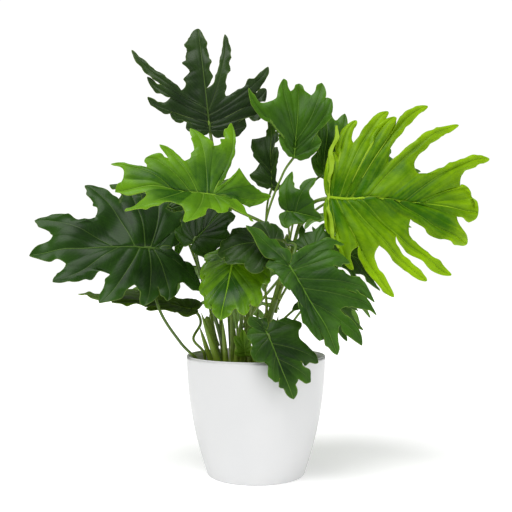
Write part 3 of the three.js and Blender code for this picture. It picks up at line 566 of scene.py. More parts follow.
def half_blade(leaf, rows, side, seed):
    """One half of a blade in the flat leaf, as arrays over (lobe, row along the vein, column across).
    A row's vein point is at + a reach (cos aim, sin aim), with a bow of VEIN_BOW and a hook at its tip.
    Up to the cut beside it, a lobe reaches to the line from the midrib to the bottom of the cut; beyond
    that, to its margin, which lies wide (1 - t^reach power)^point from the vein and flares into the cut.
    Points between are blended. The lobes' heights are -curl reach a^2, with ruffles that grow to the
    margin, a twist and a swell between vein and margin."""
    draw = np.random.default_rng(seed + 1)
    last = leaf["last"]
    table = [list(row) + [CURL] * (7 - len(row)) for row in rows]
    end_half = np.broadcast_to(leaf["tip"], 2)[0 if side > 0 else 1]
    table.append([last, 0, leaf["length"] - last, end_half, 0, 0, CURL])
    wides = np.array([np.broadcast_to(row[3], 2) for row in table], float)
    at, aim, reach, cut_aim, cut_far, curl = np.array([row[:3] + row[4:] for row in table], float).T
    count = len(at)
    at[:-1] = np.minimum(np.maximum(at, ROOT_STEP * np.arange(count)), last - ROOT_STEP)[:-1]
    du, dv = np.cos(np.radians(aim)), np.sin(np.radians(aim))
    bowed = VEIN_BOW * reach * (np.arange(count) < count - 1)
    hook = leaf["hook"] * reach * np.clip(dv, 0, 1) * draw.uniform(*HOOK_RANGE, count)

    def vein(a):
        """Points on every lobe's vein, at parts a of its length."""
        root, x, y, far = (values[:, None] for values in (at, du, dv, reach))
        hooked = hook[:, None] * np.clip((a - HOOK_START) / (1 - HOOK_START), 0, 1) ** 2
        bow = bowed[:, None] * 4 * (a - a * a) - hooked
        return np.stack([root + x * far * a - y * bow, y * far * a + x * bow], axis=-1)

    cuts = np.stack([cut_far * np.cos(np.radians(cut_aim)), cut_far * np.sin(np.radians(cut_aim))], axis=1)
    cuts = np.concatenate([[[-NOTCH, 0]], cuts])
    starts = [np.clip(((cut[:, 0] - at) * du + cut[:, 1] * dv) / reach, *START_LIMITS)
              for cut in (cuts[:-1], cuts[1:])]
    cut_heights = np.zeros(count + 1)
    cut_heights[1:-1] = -((curl * reach * starts[1] ** 2)[:-1] + (curl * reach * starts[0] ** 2)[1:]) / 2
    middle = (starts[0] + starts[1]) / 2
    middle[-1] = starts[0][-1]

    body = np.linspace(0, 1, BODY_ROWS + 1)
    free = np.linspace(0, 1, int(np.clip(reach.max() / ROW_STEP, *ROW_LIMITS)) + 1)[1:]
    free = 0.45 * free + 0.55 * (1 - np.cos(math.pi * free)) / 2
    a = np.concatenate([middle[:, None] * body, middle[:, None] + (1 - middle[:, None]) * free], axis=1)
    spine = vein(a)
    spine_height = -(curl * reach)[:, None] * a ** 2
    ribs = np.concatenate([[at[0] - 0.5], (at[:-1] + at[1:]) / 2, [at[-1]]])
    tone = draw.uniform(-1, 1, count)

    def blend_across(low, high):
        """From the vein's values to the margin's, column by column."""
        s = ACROSS.reshape(1, 1, -1, *[1] * (low.ndim - 2))
        return low[:, :, None] + (high - low)[:, :, None] * s

    halves = []
    for which, way in ((0, 1.0), (1, -1.0)):
        cut, cut_height = cuts[which:count + which], cut_heights[which:count + which]
        start, wide = starts[which][:, None], wides[:, which, None]
        foot = np.stack([ribs[which:count + which], np.zeros(count)], axis=1)[:, None]
        inner = foot + (cut[:, None] - foot) * body[None, :, None]
        t = free[None]
        e = start + (1 - start) * t
        aside = np.stack([-dv * way, du * way], axis=1)
        width = ((cut - vein(start)[:, 0]) * aside).sum(axis=1)[:, None]
        flare = np.exp((start - e) / FILLET) * (1 - t)
        window = np.sin(math.pi * t) ** 0.7
        phase = draw.uniform(0, 2 * math.pi, (count, 3, 1))
        rate = 2 * math.pi * e * reach[:, None]
        edge_wave = (np.sin(rate / leaf["wavelength"] + phase[:, 0])
                     + 0.5 * np.sin(rate / (leaf["wavelength"] * 0.6) + phase[:, 1]))
        saw = (rate / (2 * math.pi * leaf["tooth_spacing"]) + phase[:, 2]) % 1
        tooth = np.where(saw < TOOTH_TOP, (saw / TOOTH_TOP) ** 1.6, (1 - saw) / (1 - TOOTH_TOP))
        teeth = leaf["teeth"] * (tooth - 0.4) * window * (draw.uniform(0, 1, (count, 1)) > SMOOTH_SHARE)
        out = wide * (1 - t ** leaf["reach_power"]) ** leaf["point"]
        out = out * (1 + leaf["ripple"] * window * edge_wave + teeth) + (width - wide) * flare
        rim = np.concatenate([inner, vein(e) + aside[:, None] * out[..., None]], axis=1)
        rise = (cut_height + curl * reach * starts[which] ** 2)[:, None]
        outer_height = -(curl * reach)[:, None] * e ** 2 + rise * flare
        rim_height = np.concatenate([cut_height[:, None] * body ** 2, outer_height], axis=1)
        wave = np.sin(rate / (leaf["wavelength"] * 1.25) + phase[:, 2] + 0.6 * edge_wave)
        twist = way * math.tan(math.radians(leaf["twist"])) * tone[:, None] * out
        waves = window * leaf["ruffle"] * np.minimum(wide / 8, 1.3) * wave + twist * t
        ruffle = np.concatenate([np.zeros(inner.shape[:2]), np.where(t < 1, waves, 0)], axis=1)

        points = blend_across(spine, rim)
        across = np.linalg.norm(points - spine[:, :, None], axis=3)
        breadth = across[:, :, -1:]
        swell = leaf["puff"] * np.minimum(breadth / 9, 2.2) * np.sin(math.pi * ACROSS) ** 1.1
        lift = blend_across(spine_height, rim_height) + ruffle[:, :, None] * ACROSS ** 2 + swell
        lift += swing_height(leaf, points[..., 0], points[..., 1] * side)
        near = np.linalg.norm(points - cut[:, None, None], axis=3)
        margin = np.where(np.arange(a.shape[1])[None, :, None] < BODY_ROWS, near, breadth - across)
        order = slice(1, None) if which else slice(None, None, -1)
        halves.append([part[:, :, order] for part in (points, lift, across, margin)])
    flat, height, from_vein, from_edge = (np.concatenate(pair, axis=2) for pair in zip(*halves))

    columns = flat.shape[2]
    centre = len(ACROSS) - 1
    index = np.arange(count * a.shape[1] * columns).reshape(count, a.shape[1], columns)
    for i in range(1, count):
        index[i, :BODY_ROWS + 1, 0] = index[i - 1, :BODY_ROWS + 1, -1]
    index[:, -1] = index[:, -1, centre:centre + 1]
    corners = np.stack([index[:, :-1, :-1], index[:, 1:, :-1], index[:, 1:, 1:], index[:, :-1, 1:]], axis=-1)
    wanted = np.ones(corners.shape[:3], bool)
    wanted[-1, :, centre:] = False
    corners = corners[wanted]
    triangles = np.concatenate([corners[:, [0, 2, 1]], corners[:, [0, 3, 2]]])
    triangles = triangles[(triangles != np.roll(triangles, 1, axis=1)).all(axis=1)]
    if side < 0:
        triangles = triangles[:, ::-1]
    used, triangles = np.unique(triangles, return_inverse=True)

    def kept(values):
        """A value of each lobe or row, given to every point that the mesh uses."""
        return np.broadcast_to(values, from_vein.shape).ravel()[used]

    u, v = flat.reshape(-1, 2)[used].T
    part = kept(a[:, :, None])
    vein_width = VEIN_WIDTH * min(1, 0.35 + leaf["length"] / 220)
    vein_half = vein_width * (1 - 0.72 * part)
    rib_half = vein_width * 1.4 * (1 - 0.7 * np.clip(u / leaf["length"], 0, 1))
    gap = kept(from_vein)
    nearest = np.minimum(gap / vein_half, np.abs(v) / rib_half)
    length = kept((a * reach[:, None])[:, :, None])
    course = np.stack([length, gap, 0.5 + 0.3 * kept(tone[:, None, None])], axis=1)
    limits = np.stack([nearest, kept(from_edge), part], axis=1)
    return u, v * side, kept(height), triangles.reshape(-1, 3), course, limits


def leaf_shell(points, triangles, course, limits, thick, groove):
    """A closed shell from a sheet: each point moved by half the thickness along its normal, up and
    down, with ribs standing out under the veins, and a strip of triangles round the border. The marks'
    last values tell the faces apart: 0 above, 1 below."""
    a, b, c = (points[triangles[:, i]] for i in range(3))
    facing = np.cross(b - a, c - a)
    normals = np.zeros_like(points)
    for i in range(3):
        np.add.at(normals, triangles[:, i], facing)
    normals = unit(normals)
    sunk = groove * np.exp(-(limits[:, :1] * 0.55) ** 2) * np.clip(limits[:, 1:2] / 2, 0, 1)
    upper = points + normals * (thick / 2 - 0.5 * sunk)
    lower = points - normals * (thick / 2 + sunk)
    below = len(points)
    edges = np.concatenate([triangles[:, [0, 1]], triangles[:, [1, 2]], triangles[:, [2, 0]]])
    reversed_too = np.isin(edges[:, 0] * below + edges[:, 1], edges[:, 1] * below + edges[:, 0])
    a, b = edges[~reversed_too].T
    strip = np.concatenate([np.stack([b, a, a + below], axis=1), np.stack([b, a + below, b + below], axis=1)])
    faces = np.concatenate([triangles, triangles[:, ::-1] + below, strip])
    both = (np.concatenate([mark, mark]) for mark in (course, limits))
    return np.concatenate([upper, lower]), faces, *both, np.repeat([0.0, 1.0], below)


def stem_side(name, height, aside, clear):
    """The point beside a stem at a height, where a stalk's middle lies: the stem's centre, then its
    radius there and the clear distance to that side."""
    radius, knots = STEMS[name]
    path = smooth_path(knots, 400)
    spot = np.array([np.interp(height, path[:, 2], path[:, i]) for i in range(3)])
    along = np.interp(height, path[:, 2], np.linspace(0, 1, 400))
    return spot + aside * (radius * (STEM_FOOT - STEM_TAPER * along) + clear)


def leaf_stalk(leaf):
    """The stalk's path from its root through its given points to the blade and on under the midrib,
    and its radius: widest at the sheath, then even, then tapering under the blade."""
    radius = leaf["thick"] / 2
    root = leaf["root"]
    if len(root) == 2:
        start = [[*root, ROOT_HEIGHT], [*root, SOIL_CROWN + 4]]
    else:
        name, height, azimuth = root
        aside = np.array([math.cos(math.radians(azimuth)), math.sin(math.radians(azimuth)), 0])
        clear = radius * (1 + STALK_FLARE) * FLARE_SNUG + STEM_GAP
        start = [stem_side(name, z, aside, clear) for z in (height, height + FLARE_RISE)]
    under = np.array([0, 0.5, 1])
    deep = BLADE_THICK / 2 + radius * 0.9 * (1 - STALK_THIN * under)
    keel_u = leaf["length"] * KEEL_PART * under
    keel = bend(leaf, keel_u, 0 * under, spine_drop(leaf, keel_u) - deep)
    knots = np.concatenate([start, np.array(leaf["stalk"], float).reshape(-1, 3), keel])
    rough_path = smooth_path(knots, 200)
    length = np.linalg.norm(np.diff(rough_path, axis=0), axis=1).sum()
    steps = int(length / STALK_STEP)
    path = smooth_path(knots, steps)
    along = np.linspace(0, 1, steps)
    keel_start = 1 - leaf["length"] * KEEL_PART / length
    end = np.clip((along - keel_start) / (1 - keel_start), 0, 1)
    knee = KNEE * np.exp(-((along - keel_start) / KNEE_PART + 1) ** 2)
    flare = STALK_FLARE * np.clip(1 - along / FLARE_PART, 0, 1) ** 1.3
    return path, radius * (1 + flare + knee) * (1 - STALK_THIN * end)


def midrib(leaf):
    """The midrib's path along the bent blade from the notch to the tip, and its tapering radius."""
    u = np.linspace(-NOTCH * 0.8, leaf["length"] * 0.985, 60)
    part = np.clip(u / leaf["length"], 0, 1)
    radii = RIB_END + (leaf["thick"] * leaf["rib"] - RIB_END) * (1 - part) ** 1.3
    return bend(leaf, u, 0 * u, spine_drop(leaf, u) + 0.1 * radii), radii


PATTERN_VALUES = ("Side Spacing", "Side Strength", "Tip Light", "Cloud", "Vein Strength", "Rough",
                  "Streaks", "Crease")


def leaf_pattern_group():
    """Shader group for a blade's look from its marks. course: length along the lobe's vein and distance
    from it in mm, and the lobe's tone. limits: distance from a vein in its half widths, from the margin
    in mm, and the part of the lobe's length. face: 0 above and 1 below."""
    group = bpy.data.node_groups.new("leaf_pattern", "ShaderNodeTree")
    sockets = [(name, "INPUT", "Color") for name in ("Dark", "Light", "Vein", "Margin", "Under")]
    sockets += [(name, "INPUT", "Float") for name in PATTERN_VALUES]
    sockets += [("Color", "OUTPUT", "Color"), ("Roughness", "OUTPUT", "Float"), ("Height", "OUTPUT", "Float")]
    for name, way, kind in sockets:
        group.interface.new_socket(name, in_out=way, socket_type="NodeSocket" + kind)
    given = add_node(group, "NodeGroupInput").outputs
    result = add_node(group, "NodeGroupOutput")

    def calc(operation, *values):
        """One Math node."""
        return add_node(group, "ShaderNodeMath", dict(enumerate(values)), operation=operation).outputs[0]

    def times(first, second):
        """The product of two values."""
        return calc("MULTIPLY", first, second)

    def total(first, *others):
        """The sum of all values."""
        for other in others:
            first = calc("ADD", first, other)
        return first

    def about(value, strength):
        """How far a value lies above one half, times a strength."""
        return times(calc("SUBTRACT", value, 0.5), strength)

    def ramp(value, low, high, to_low=0.0, to_high=1.0):
        """A value carried smoothly from one range to another."""
        values = {"Value": value, "From Min": low, "From Max": high, "To Min": to_low, "To Max": to_high}
        node = add_node(group, "ShaderNodeMapRange", values, interpolation_type="SMOOTHSTEP")
        return node.outputs["Result"]

    def marks(name):
        """The three values of one of the blade's marks."""
        vector = add_node(group, "ShaderNodeAttribute", attribute_name=name).outputs["Vector"]
        return add_node(group, "ShaderNodeSeparateXYZ", {"Vector": vector}).outputs

    along, away, tone = (marks("course")[axis] for axis in "XYZ")
    vein_far, edge_far, part = (marks("limits")[axis] for axis in "XYZ")
    below = marks("face")["X"]
    place = object_place(group)
    cloud = noise(group, place, 24.0, 3.0)
    mottle = noise(group, place, 130.0, 3.0, 0.6)
    fine = noise(group, place, 900.0, 2.0)

    bent = times(calc("POWER", away, 1.12), -0.95)
    wander = times(noise(group, place, 60.0, 2.0), 2.6)
    phase = times(calc("DIVIDE", total(along, bent, wander), given["Side Spacing"]), 2 * math.pi)
    wave = calc("COSINE", phase)
    side_fade = times(ramp(edge_far, 0.4, 3.5), ramp(part, 0.98, 0.75))
    side_line = times(ramp(wave, 0.86, 1.0), side_fade)
    vein_line = ramp(vein_far, 1.1, 0.4)
    vein_glow = ramp(vein_far, 5.0, 0.8)
    edge_line = ramp(edge_far, 1.1, 0.25)
    # Streaks: light bands along the veins, painted into the colour as the sheen of fine ridges; the same
    # bands also raise the surface's relief.
    stretched = add_node(group, "ShaderNodeCombineXYZ", {
        "X": times(along, 0.012), "Y": times(away, 0.2), "Z": times(tone, 9.0)})
    streak = ramp(noise(group, stretched.outputs[0], 1.0, 2.0), 0.3, 0.7)

    light = total(
        0.28, about(cloud, given["Cloud"]), about(mottle, 0.35), about(tone, 0.7),
        # lighter towards the lobes' tips: partly their yellower tips, partly painted shade over the lobes'
        # bases
        about(streak, given["Streaks"]), times(ramp(part, 0.25, 1.0), given["Tip Light"]),
        times(ramp(edge_far, 5.5, 0.6), 0.12), times(ramp(edge_far, 16.0, 2.0), 0.16),
        # painted shade: the blade darkened in a band beside its sunk veins
        times(ramp(vein_far, 9.0, 1.5), times(given["Crease"], -1.0)),
        times(calc("SINE", times(phase, 4.0)), 0.015))
    light = add_node(group, "ShaderNodeClamp", {"Value": light}).outputs["Result"]
    color = color_mix(group, light, given["Dark"], given["Light"])
    for share, shade in ((times(side_line, given["Side Strength"]), "Vein"),
                         (times(vein_glow, times(given["Vein Strength"], 0.1)), "Vein"),
                         (times(vein_line, given["Vein Strength"]), "Vein"),
                         (times(edge_line, 0.45), "Margin")):
        color = color_mix(group, share, color, given[shade])
    under = color_mix(group, times(vein_line, 0.7), given["Under"], given["Vein"])
    fill_sockets(group, result, {
        "Color": color_mix(group, times(below, 0.8), color, under),
        "Roughness": total(given["Rough"], about(mottle, 0.14), times(below, 0.14)),
        "Height": total(times(ramp(wave, 0.3, 1.0), times(mottle, -0.6)), times(vein_glow, -0.5),
                        times(mottle, 0.35), times(fine, 0.1), times(streak, 0.5))})
    return group


LEAF_PATTERN = leaf_pattern_group()


def blade_finish(name, leaf):
    """The blade's leathery satin skin, from the shared pattern with this leaf's own colours."""
    finish, tree, shader = new_finish(name, Coat_Weight=leaf["gloss"], Coat_Roughness=0.28,
                                      Specular_IOR_Level=leaf["shine"])
    light = np.array(leaf["light"], float)
    colors = {"Dark": leaf["dark"], "Light": light}
    for socket, share, other in (("Vein", 0.6, (176, 200, 110)), ("Margin", 0.5, (190, 205, 96)),
                                 ("Under", 0.62, (150, 165, 100))):
        colors[socket] = share * light + (1 - share) * np.array(other)
    pattern = add_node(tree, "ShaderNodeGroup", node_tree=LEAF_PATTERN)
    fill_sockets(tree, pattern, {socket: pigment(*color) for socket, color in colors.items()})
    fill_sockets(tree, pattern, {socket: leaf[socket.lower().replace(" ", "_")] for socket in PATTERN_VALUES})
    fill_sockets(tree, shader, {
        "Base Color": pattern.outputs["Color"], "Roughness": pattern.outputs["Roughness"],
        "Normal": bump_normal(tree, pattern.outputs["Height"], leaf["relief"], 0.001)})
    return finish


def rolled_margin(leaf, side, foot, head, far, seed):
    """A margin rolled over onto the upper face, as a grid over the way along it and the way across it.
    From a line between two points of the flat leaf it turns up through a half circle of FLAP_TURN
    radius and runs back over the blade, with waves that grow to its free edge. It narrows to both ends."""
    draw = np.random.default_rng(seed)
    along = np.linspace(0, 1, 90)[:, None]
    across = np.linspace(0, 1, 14)[None]
    foot, head = np.array(foot, float), np.array(head, float)
    ahead = unit(head - foot)
    outward = np.array([-ahead[1], ahead[0]])
    length = np.linalg.norm(head - foot)
    phase = draw.uniform(0, 2 * math.pi, 4)
    rate = [2 * math.pi * along * length / wave_length for wave_length in ROLL_WAVES]
    waves = np.sin(rate[0] + phase[0]) + 0.4 * np.sin(rate[1] + phase[1])
    taper = np.sin(math.pi * (0.06 + 0.9 * along)) ** 0.7
    width = FLAP_TURN * math.pi + far * taper * (1 + 0.28 * waves)
    distance = across * width
    turn = np.clip(distance / FLAP_TURN, 0, math.pi)
    back = np.maximum(distance - FLAP_TURN * math.pi, 0)
    wave = np.sin(rate[2] + phase[2]) + 0.35 * np.sin(rate[3] + phase[3])
    sideways = FLAP_TURN * np.sin(turn) - back
    h = FLAP_TURN * (1 - np.cos(turn)) * taper + 1.4 * wave * across ** 2 * taper + 0.25 * back
    bulge = 4.5 * np.sin(math.pi * along) + 1.6 * np.sin(rate[4] + phase[0])
    u, v = (foot[i] + ahead[i] * length * along + outward[i] * (sideways + bulge) for i in range(2))
    index = np.arange(u.size).reshape(u.shape)
    a, b, c, d = (part.ravel() for part in (index[:-1, :-1], index[1:, :-1], index[1:, 1:], index[:-1, 1:]))
    triangles = np.concatenate([np.stack([a, b, c], axis=1), np.stack([a, c, d], axis=1)])
    if side < 0:
        triangles = triangles[:, ::-1]
    gap = np.broadcast_to(distance, u.shape)
    course = np.stack([(along * length + 0 * across).ravel(), gap.ravel(), np.full(u.size, 0.7)], axis=1)
    limits = np.stack([np.full(u.size, 9.0), ((1 - across) * width).ravel(), np.full(u.size, 0.6)], axis=1)
    points = bend(leaf, u.ravel(), side * v.ravel(), h.ravel() + swing_height(leaf, u, side * v).ravel())
    return points, triangles, course, limits


def lobes_by_rule(seed, count, length):
    """Lobes for a half-hidden leaf, in order from swept-back base lobes to forward ones at the tip, with
    repeatable draws: state = (state * 1664525 + 1013904223) mod 2^32, read as -1 to 1."""
    draws, state = [], seed
    for _ in range(8 * count):
        state = (state * 1664525 + 1013904223) % 2 ** 32
        draws.append(state / 2 ** 31 - 1)
    draws = np.reshape(draws, (2, count, 4))
    part = (np.arange(count) + 0.3) / count
    cut_part = (np.arange(count) + 0.8) / count
    sides = []
    for aim_draw, reach_draw, cut_aim_draw, cut_far_draw in draws.transpose(0, 2, 1):
        reach = length * (0.6 + 0.14 * np.sin(math.pi * part)) * (1 + 0.08 * reach_draw)
        cut_far = length * (0.36 + 0.38 * cut_part ** 2.4) * (1 + 0.05 * cut_far_draw)
        sides.append(np.stack([
            length * 0.45 * part ** 1.7, 128 - 100 * part + 4 * aim_draw, reach,
            0 * part + length * 0.08, 122 - 106 * cut_part ** 1.15 + 3 * cut_aim_draw, cut_far], axis=1))
    return {"tip": length * 0.085, "left": sides[0].tolist(), "right": sides[1].tolist()}


SLOTS = {entry["node"]: entry["material_slot"] for entry in frame["record"]["subparts"]}
DULL_STALK = ((46, 70, 10), (88, 118, 28), (116, 142, 44))


def grow_leaf(name, seed, stalk_color=((62, 92, 8), (122, 154, 34), (124, 150, 44)), **given):
    """One leaf: two half blades as shells, the midrib between them, and the stalk. Always given are the
    start of the blade, the heading of its midrib, the way its upper face looks, its length, how far it
    arches, folds and rolls in degrees, the stalk's thickness, its root (a place in the soil, or a stem,
    height and side) and points on its way. A row of left or right is one lobe: its vein's start on the
    midrib, angle and length, half width, then the angle and distance of the cut after it, and its curl.
    Rule is a seed and a number of lobes instead. What isn't given has the value set here."""
    leaf = {
        # margin: waves in its plane and out of it, their length, teeth, and how lobes narrow and hook
        "ripple": 0.08, "ruffle": 2.0, "wavelength": 30.0, "teeth": 0.25, "tooth_spacing": 19.0,
        "point": 0.85, "reach_power": 3.0, "hook": 0.06,
        # blade: swell between veins, twist of lobes, slow waves, sunk veins, midrib, and rolled margins,
        # each given by its side, the two ends of its fold and how far it runs back
        "puff": 0.75, "twist": 12.0, "swing": 3.0, "groove": 0.3, "rib": 0.32, "flaps": [],
        # surface: coat, roughness, reflection, relief
        "gloss": 0.06, "rough": 0.44, "shine": 0.12, "relief": 0.3,
        # pattern: patches, lighter tips (yellower tips and painted shade over the lobes' bases), side veins,
        # veins, streaks of painted sheen, painted shade beside the veins
        "cloud": 1.3, "tip_light": 0.25, "side_spacing": 6.0, "side_strength": 0.05,
        "vein_strength": 0.5, "streaks": 0.14, "crease": 0.08}
    if "rule" in given:
        leaf.update(lobes_by_rule(*given.pop("rule"), given["length"]))
    leaf.update(given)
    leaf["last"] = max(row[0] for row in leaf["left"] + leaf["right"])
    parts = []
    for rows, side in ((leaf["left"], 1), (leaf["right"], -1)):
        u, v, h, *sheet = half_blade(leaf, rows, side, seed * 7)
        v = np.where(np.abs(v) < 1e-9, side * 1e-9, v)
        sheets = [(bend(leaf, u, v, h), *sheet)]
        sheets += [rolled_margin(leaf, *flap, seed + 50) for flap in leaf["flaps"] if flap[0] == side]
        parts += [(*leaf_shell(*sheet, BLADE_THICK, leaf["groove"]), 0) for sheet in sheets]
    for path, sides, look in ((midrib(leaf), 8, 0), (leaf_stalk(leaf), 14, 1)):
        points, triangles, course = tube(*path, sides)
        if look == 0:
            course = np.full_like(course, 5.0)
        parts.append((points, triangles, course, np.tile([0.0, 9.0, 0.4], (len(points), 1)),
                      np.zeros(len(points)), look))
    starts = np.cumsum([0] + [len(part[0]) for part in parts])
    triangles = np.concatenate([part[1] + start for part, start in zip(parts, starts)])
    looks = np.concatenate([np.full(len(part[1]), part[5]) for part in parts])
    points, course, limits, face = (np.concatenate([part[i] for part in parts]) for i in (0, 2, 3, 4))
    marks = {"course": course, "limits": limits, "face": np.stack([face, face, face], axis=1)}
    node = "leaf_" + name
    finishes = [blade_finish(node + "_skin", leaf), stalk_finish(node + "_stalk", *stalk_color)]
    add_piece(name + "_leaf", points, triangles, finishes, SLOTS[node], [node], looks, marks)


# Large right leaf. The broadest and brightest blade, facing the viewer on a long stalk from the tall
# stem. Its long blunt fingers spread like a fan, and its margin is rolled over beside the stalk.
grow_leaf(
    "right_broad", 1,
    at=[86, -20, 327], heading=[1, 0.02, -0.05], face=[0.12, -0.95, 0.3],
    length=185, tip=13, arch=14, fold=4, roll=-10, thick=4.4,
    left=[[0, 86, 60, 6, 75, 52], [3, 77, 109, 7, 69, 77], [12, 65, 139, 8, 53, 82],
      [20, 64, 131, 6, 51, 128], [26, 56, 173, 8, 35, 86], [44, 45, 176, 8, 20, 112],
      [88, 34, 143, 8, 11, 166], [112, 27, 72, 6, 6, 180]],
    right=[[0, 90, 46, 5, 80, 46], [0, 74, 90, 5, 60, 68], [8, 60, 134, 7, 45, 81],
      [20, 44, 134, 7, 29, 89], [36, 37, 139, 8, 12, 98], [80, 23, 100, 11, 4, 154]],
    root=["stem_tall", 226, 10], stalk=[[50, 0, 290], [64, -6, 318]],
    dark=(46, 92, 0), light=(130, 170, 4), tip_light=0.5, rib=0.46, puff=1.5, swing=4.5, shine=0.05,
    teeth=0.1, streaks=0.2, hook=0.03, point=0.6, reach_power=4.6,
    flaps=[(1, (-1, 0), (9, 92), 3.5), (-1, (-1, 0), (10, 66), 2)])

# Large left leaf. Dark, satin and broad, on a stalk from the soil; its lobes hang to the lower left.
# Next to it at the front is the folded upper left leaf, whose lobes stand up and down from its spine.
grow_leaf(
    "left_broad", 2,
    at=[-120, -15, 267], heading=[-0.95, -0.31, 0.04], face=[0.12, -0.86, 0.5],
    length=143, tip=13, arch=16, fold=5, roll=-14, thick=3.4,
    left=[[0, 140, 75, 12, 120, 53], [0, 105, 69, 11, 94, 49], [6, 86, 74, 12, 64, 56],
      [16, 57, 85, 14, 35, 63], [40, 29, 85, 13, 10, 102]],
    right=[[0, 131, 80, 14, 108, 62], [4, 100, 96, 12, 82, 66], [10, 79, 100, 12, 60, 73],
      [22, 61, 108, 15, 32, 78], [46, 28, 102, 13, 10, 117]],
    root=[-64, -22], stalk=[[-86, -36, 158], [-110, -38, 196], [-121, -18, 240]],
    dark=(9, 31, 3), light=(38, 72, 12), gloss=0.1, shine=0.1, puff=0.5, groove=0.2, relief=0.15,
    stalk_color=DULL_STALK)
grow_leaf(
    "upper_left", 3,
    at=[-47, -70, 323], heading=[-0.91, -0.38, 0.17], face=[0.1, -0.74, 0.67],
    length=108, tip=10, arch=18, fold=22, roll=-6, thick=3.8,
    left=[[0, 150, 52, 10, 128, 26], [2, 99, 35, 8, 76, 32], [12, 68, 72, 9, 42, 58],
      [34, 37, 79, 10, 8, 78]],
    right=[[0, 162, 82, 9, 148, 60], [0, 126, 58, [14, 3], 98, 10], [2, 105, 114, [4, 13], 89, 64],
      [8, 82, 88, 12, 50, 51], [18, 56, 70, 6, 36, 62], [26, 42, 62, 11, 19, 78],
      [48, 29, 72, 4, 8, 100]],
    root=["stem_tall", 262, 200], stalk=[[12, -22, 294], [-24, -48, 310]],
    dark=(28, 70, 2), light=(94, 140, 12), point=0.8, teeth=0.3, side_spacing=3.2, side_strength=0.12,
    tip_light=0.65, vein_strength=0.6, relief=0.18)

# Top leaves. The tallest has narrow wavy lobes like a feather; behind it three younger ones stand
# nearly upright and half folded on thin stalks from the crown stems.
grow_leaf(
    "top_left", 4,
    at=[-56, 20, 411], heading=[-0.11, 0.04, 0.99], face=[0.05, -0.97, 0.2],
    length=140, tip=[21, 10], arch=14, fold=6, roll=-12, thick=3.6,
    left=[[0, 80, 29, 6, 61, 32], [2, 64, 52, 5, 56, 49], [10, 64, 81, 5, 44, 62],
      [18, 52, 90, 5, 39, 76], [26, 45, 123, 6, 29, 60]],
    right=[[0, 90, 45, 9, 76, 50], [4, 78, 74, 9, 64, 68], [8, 66, 84, 7, 56, 74],
      [18, 57, 99, 7, 31, 47], [22, 18, 109, [9, 5], 2, 52]],
    root=[-30, 14], stalk=[[-34, 16, 200], [-42, 26, 300], [-50, 32, 370]],
    dark=(18, 36, 10), light=(42, 66, 20), ripple=0.16, ruffle=2.6, wavelength=24.0, point=0.65,
    reach_power=3.8, vein_strength=0.3)
grow_leaf(
    "top_middle", 5,
    at=[46, 10, 378], heading=[0.09, 0.06, 0.99], face=[0.1, -0.93, 0.3],
    length=95, tip=9, arch=10, fold=24, roll=-10, thick=2.8,
    left=[[0, 44, 32, 7, 32, 47], [8, 48, 92, 5, 29, 71], [22, 18, 77, 8, 8, 82]],
    right=[[0, 62, 37, 8, 40, 45], [8, 34, 76, 8, 25, 80], [18, 22, 81, 8, 12, 79]],
    root=["stem_tall", 180, 170], stalk=[[10, 8, 240], [12, 8, 300], [32, 12, 356]],
    dark=(28, 62, 0), light=(66, 110, 10))
grow_leaf(
    "top_right", 6,
    at=[82, 32, 360], heading=[0.12, 0.11, 0.99], face=[0.3, -0.9, 0.3],
    length=94, tip=8, arch=12, fold=22, roll=-10, thick=2.6,
    left=[[0, 56, 24, 7, 24, 40], [10, 15, 80, 6, 9, 68]],
    right=[[0, 64, 26, 8, 32, 48], [10, 19, 78, 7, 9, 74]],
    root=["stem_tall", 252, 60], stalk=[[50, 18, 318], [70, 28, 348]],
    dark=(32, 68, 2), light=(72, 116, 14))
grow_leaf(
    "middle_upright", 7,
    at=[20, 32, 345], heading=[-0.05, 0.12, 0.99], face=[-0.25, -0.94, 0.2],
    length=93, tip=6, arch=12, fold=18, roll=-8, thick=2.6,
    left=[[0, 64, 31, 6, 26, 32], [16, 29, 52, 5, 6, 66]],
    right=[[0, 110, 14, 6, 24, 20], [16, 16, 33, 5, 4, 54], [32, 10, 41, 4, 3, 68]],
    root=["stem_back", 214, 30], stalk=[[10, 44, 276], [14, 42, 322]],
    dark=(18, 40, 3), light=(44, 74, 10), reach_power=1.9, teeth=0.45, tooth_spacing=13.0)

# Front leaves. Three blades hang before the stems: one to the lower right with a raised base lobe, one
# bright and cupped above the pot, and one over the pot rim. Small darker ones fill in behind them.
grow_leaf(
    "front_right", 8,
    at=[37, -85, 243], heading=[0.51, -0.37, -0.77], face=[0.16, -0.92, 0.36],
    length=107, tip=9, arch=20, fold=6, roll=-14, thick=3.8,
    left=[[0, 98, 72, 10, 90, 52], [4, 79, 66, 10, 66, 48], [14, 55, 90, 11, 42, 64],
      [26, 48, 86, 10, 21, 70], [44, 25, 72, 9, 13, 81]],
    right=[[0, 162, 62, 13, 148, 18, -0.3], [0, 132, 27, 9, 100, 20], [4, 62, 22, 7, 34, 26],
      [30, 17, 56, 9, 6, 84]],
    root=["stem_tall", 224, 275], stalk=[[34, -22, 268], [44, -60, 268]],
    dark=(18, 48, 3), light=(58, 100, 14), point=0.75, reach_power=2.4, teeth=0.3, puff=0.6, hook=0.14,
    swing=4.0, vein_strength=0.35, stalk_color=DULL_STALK)
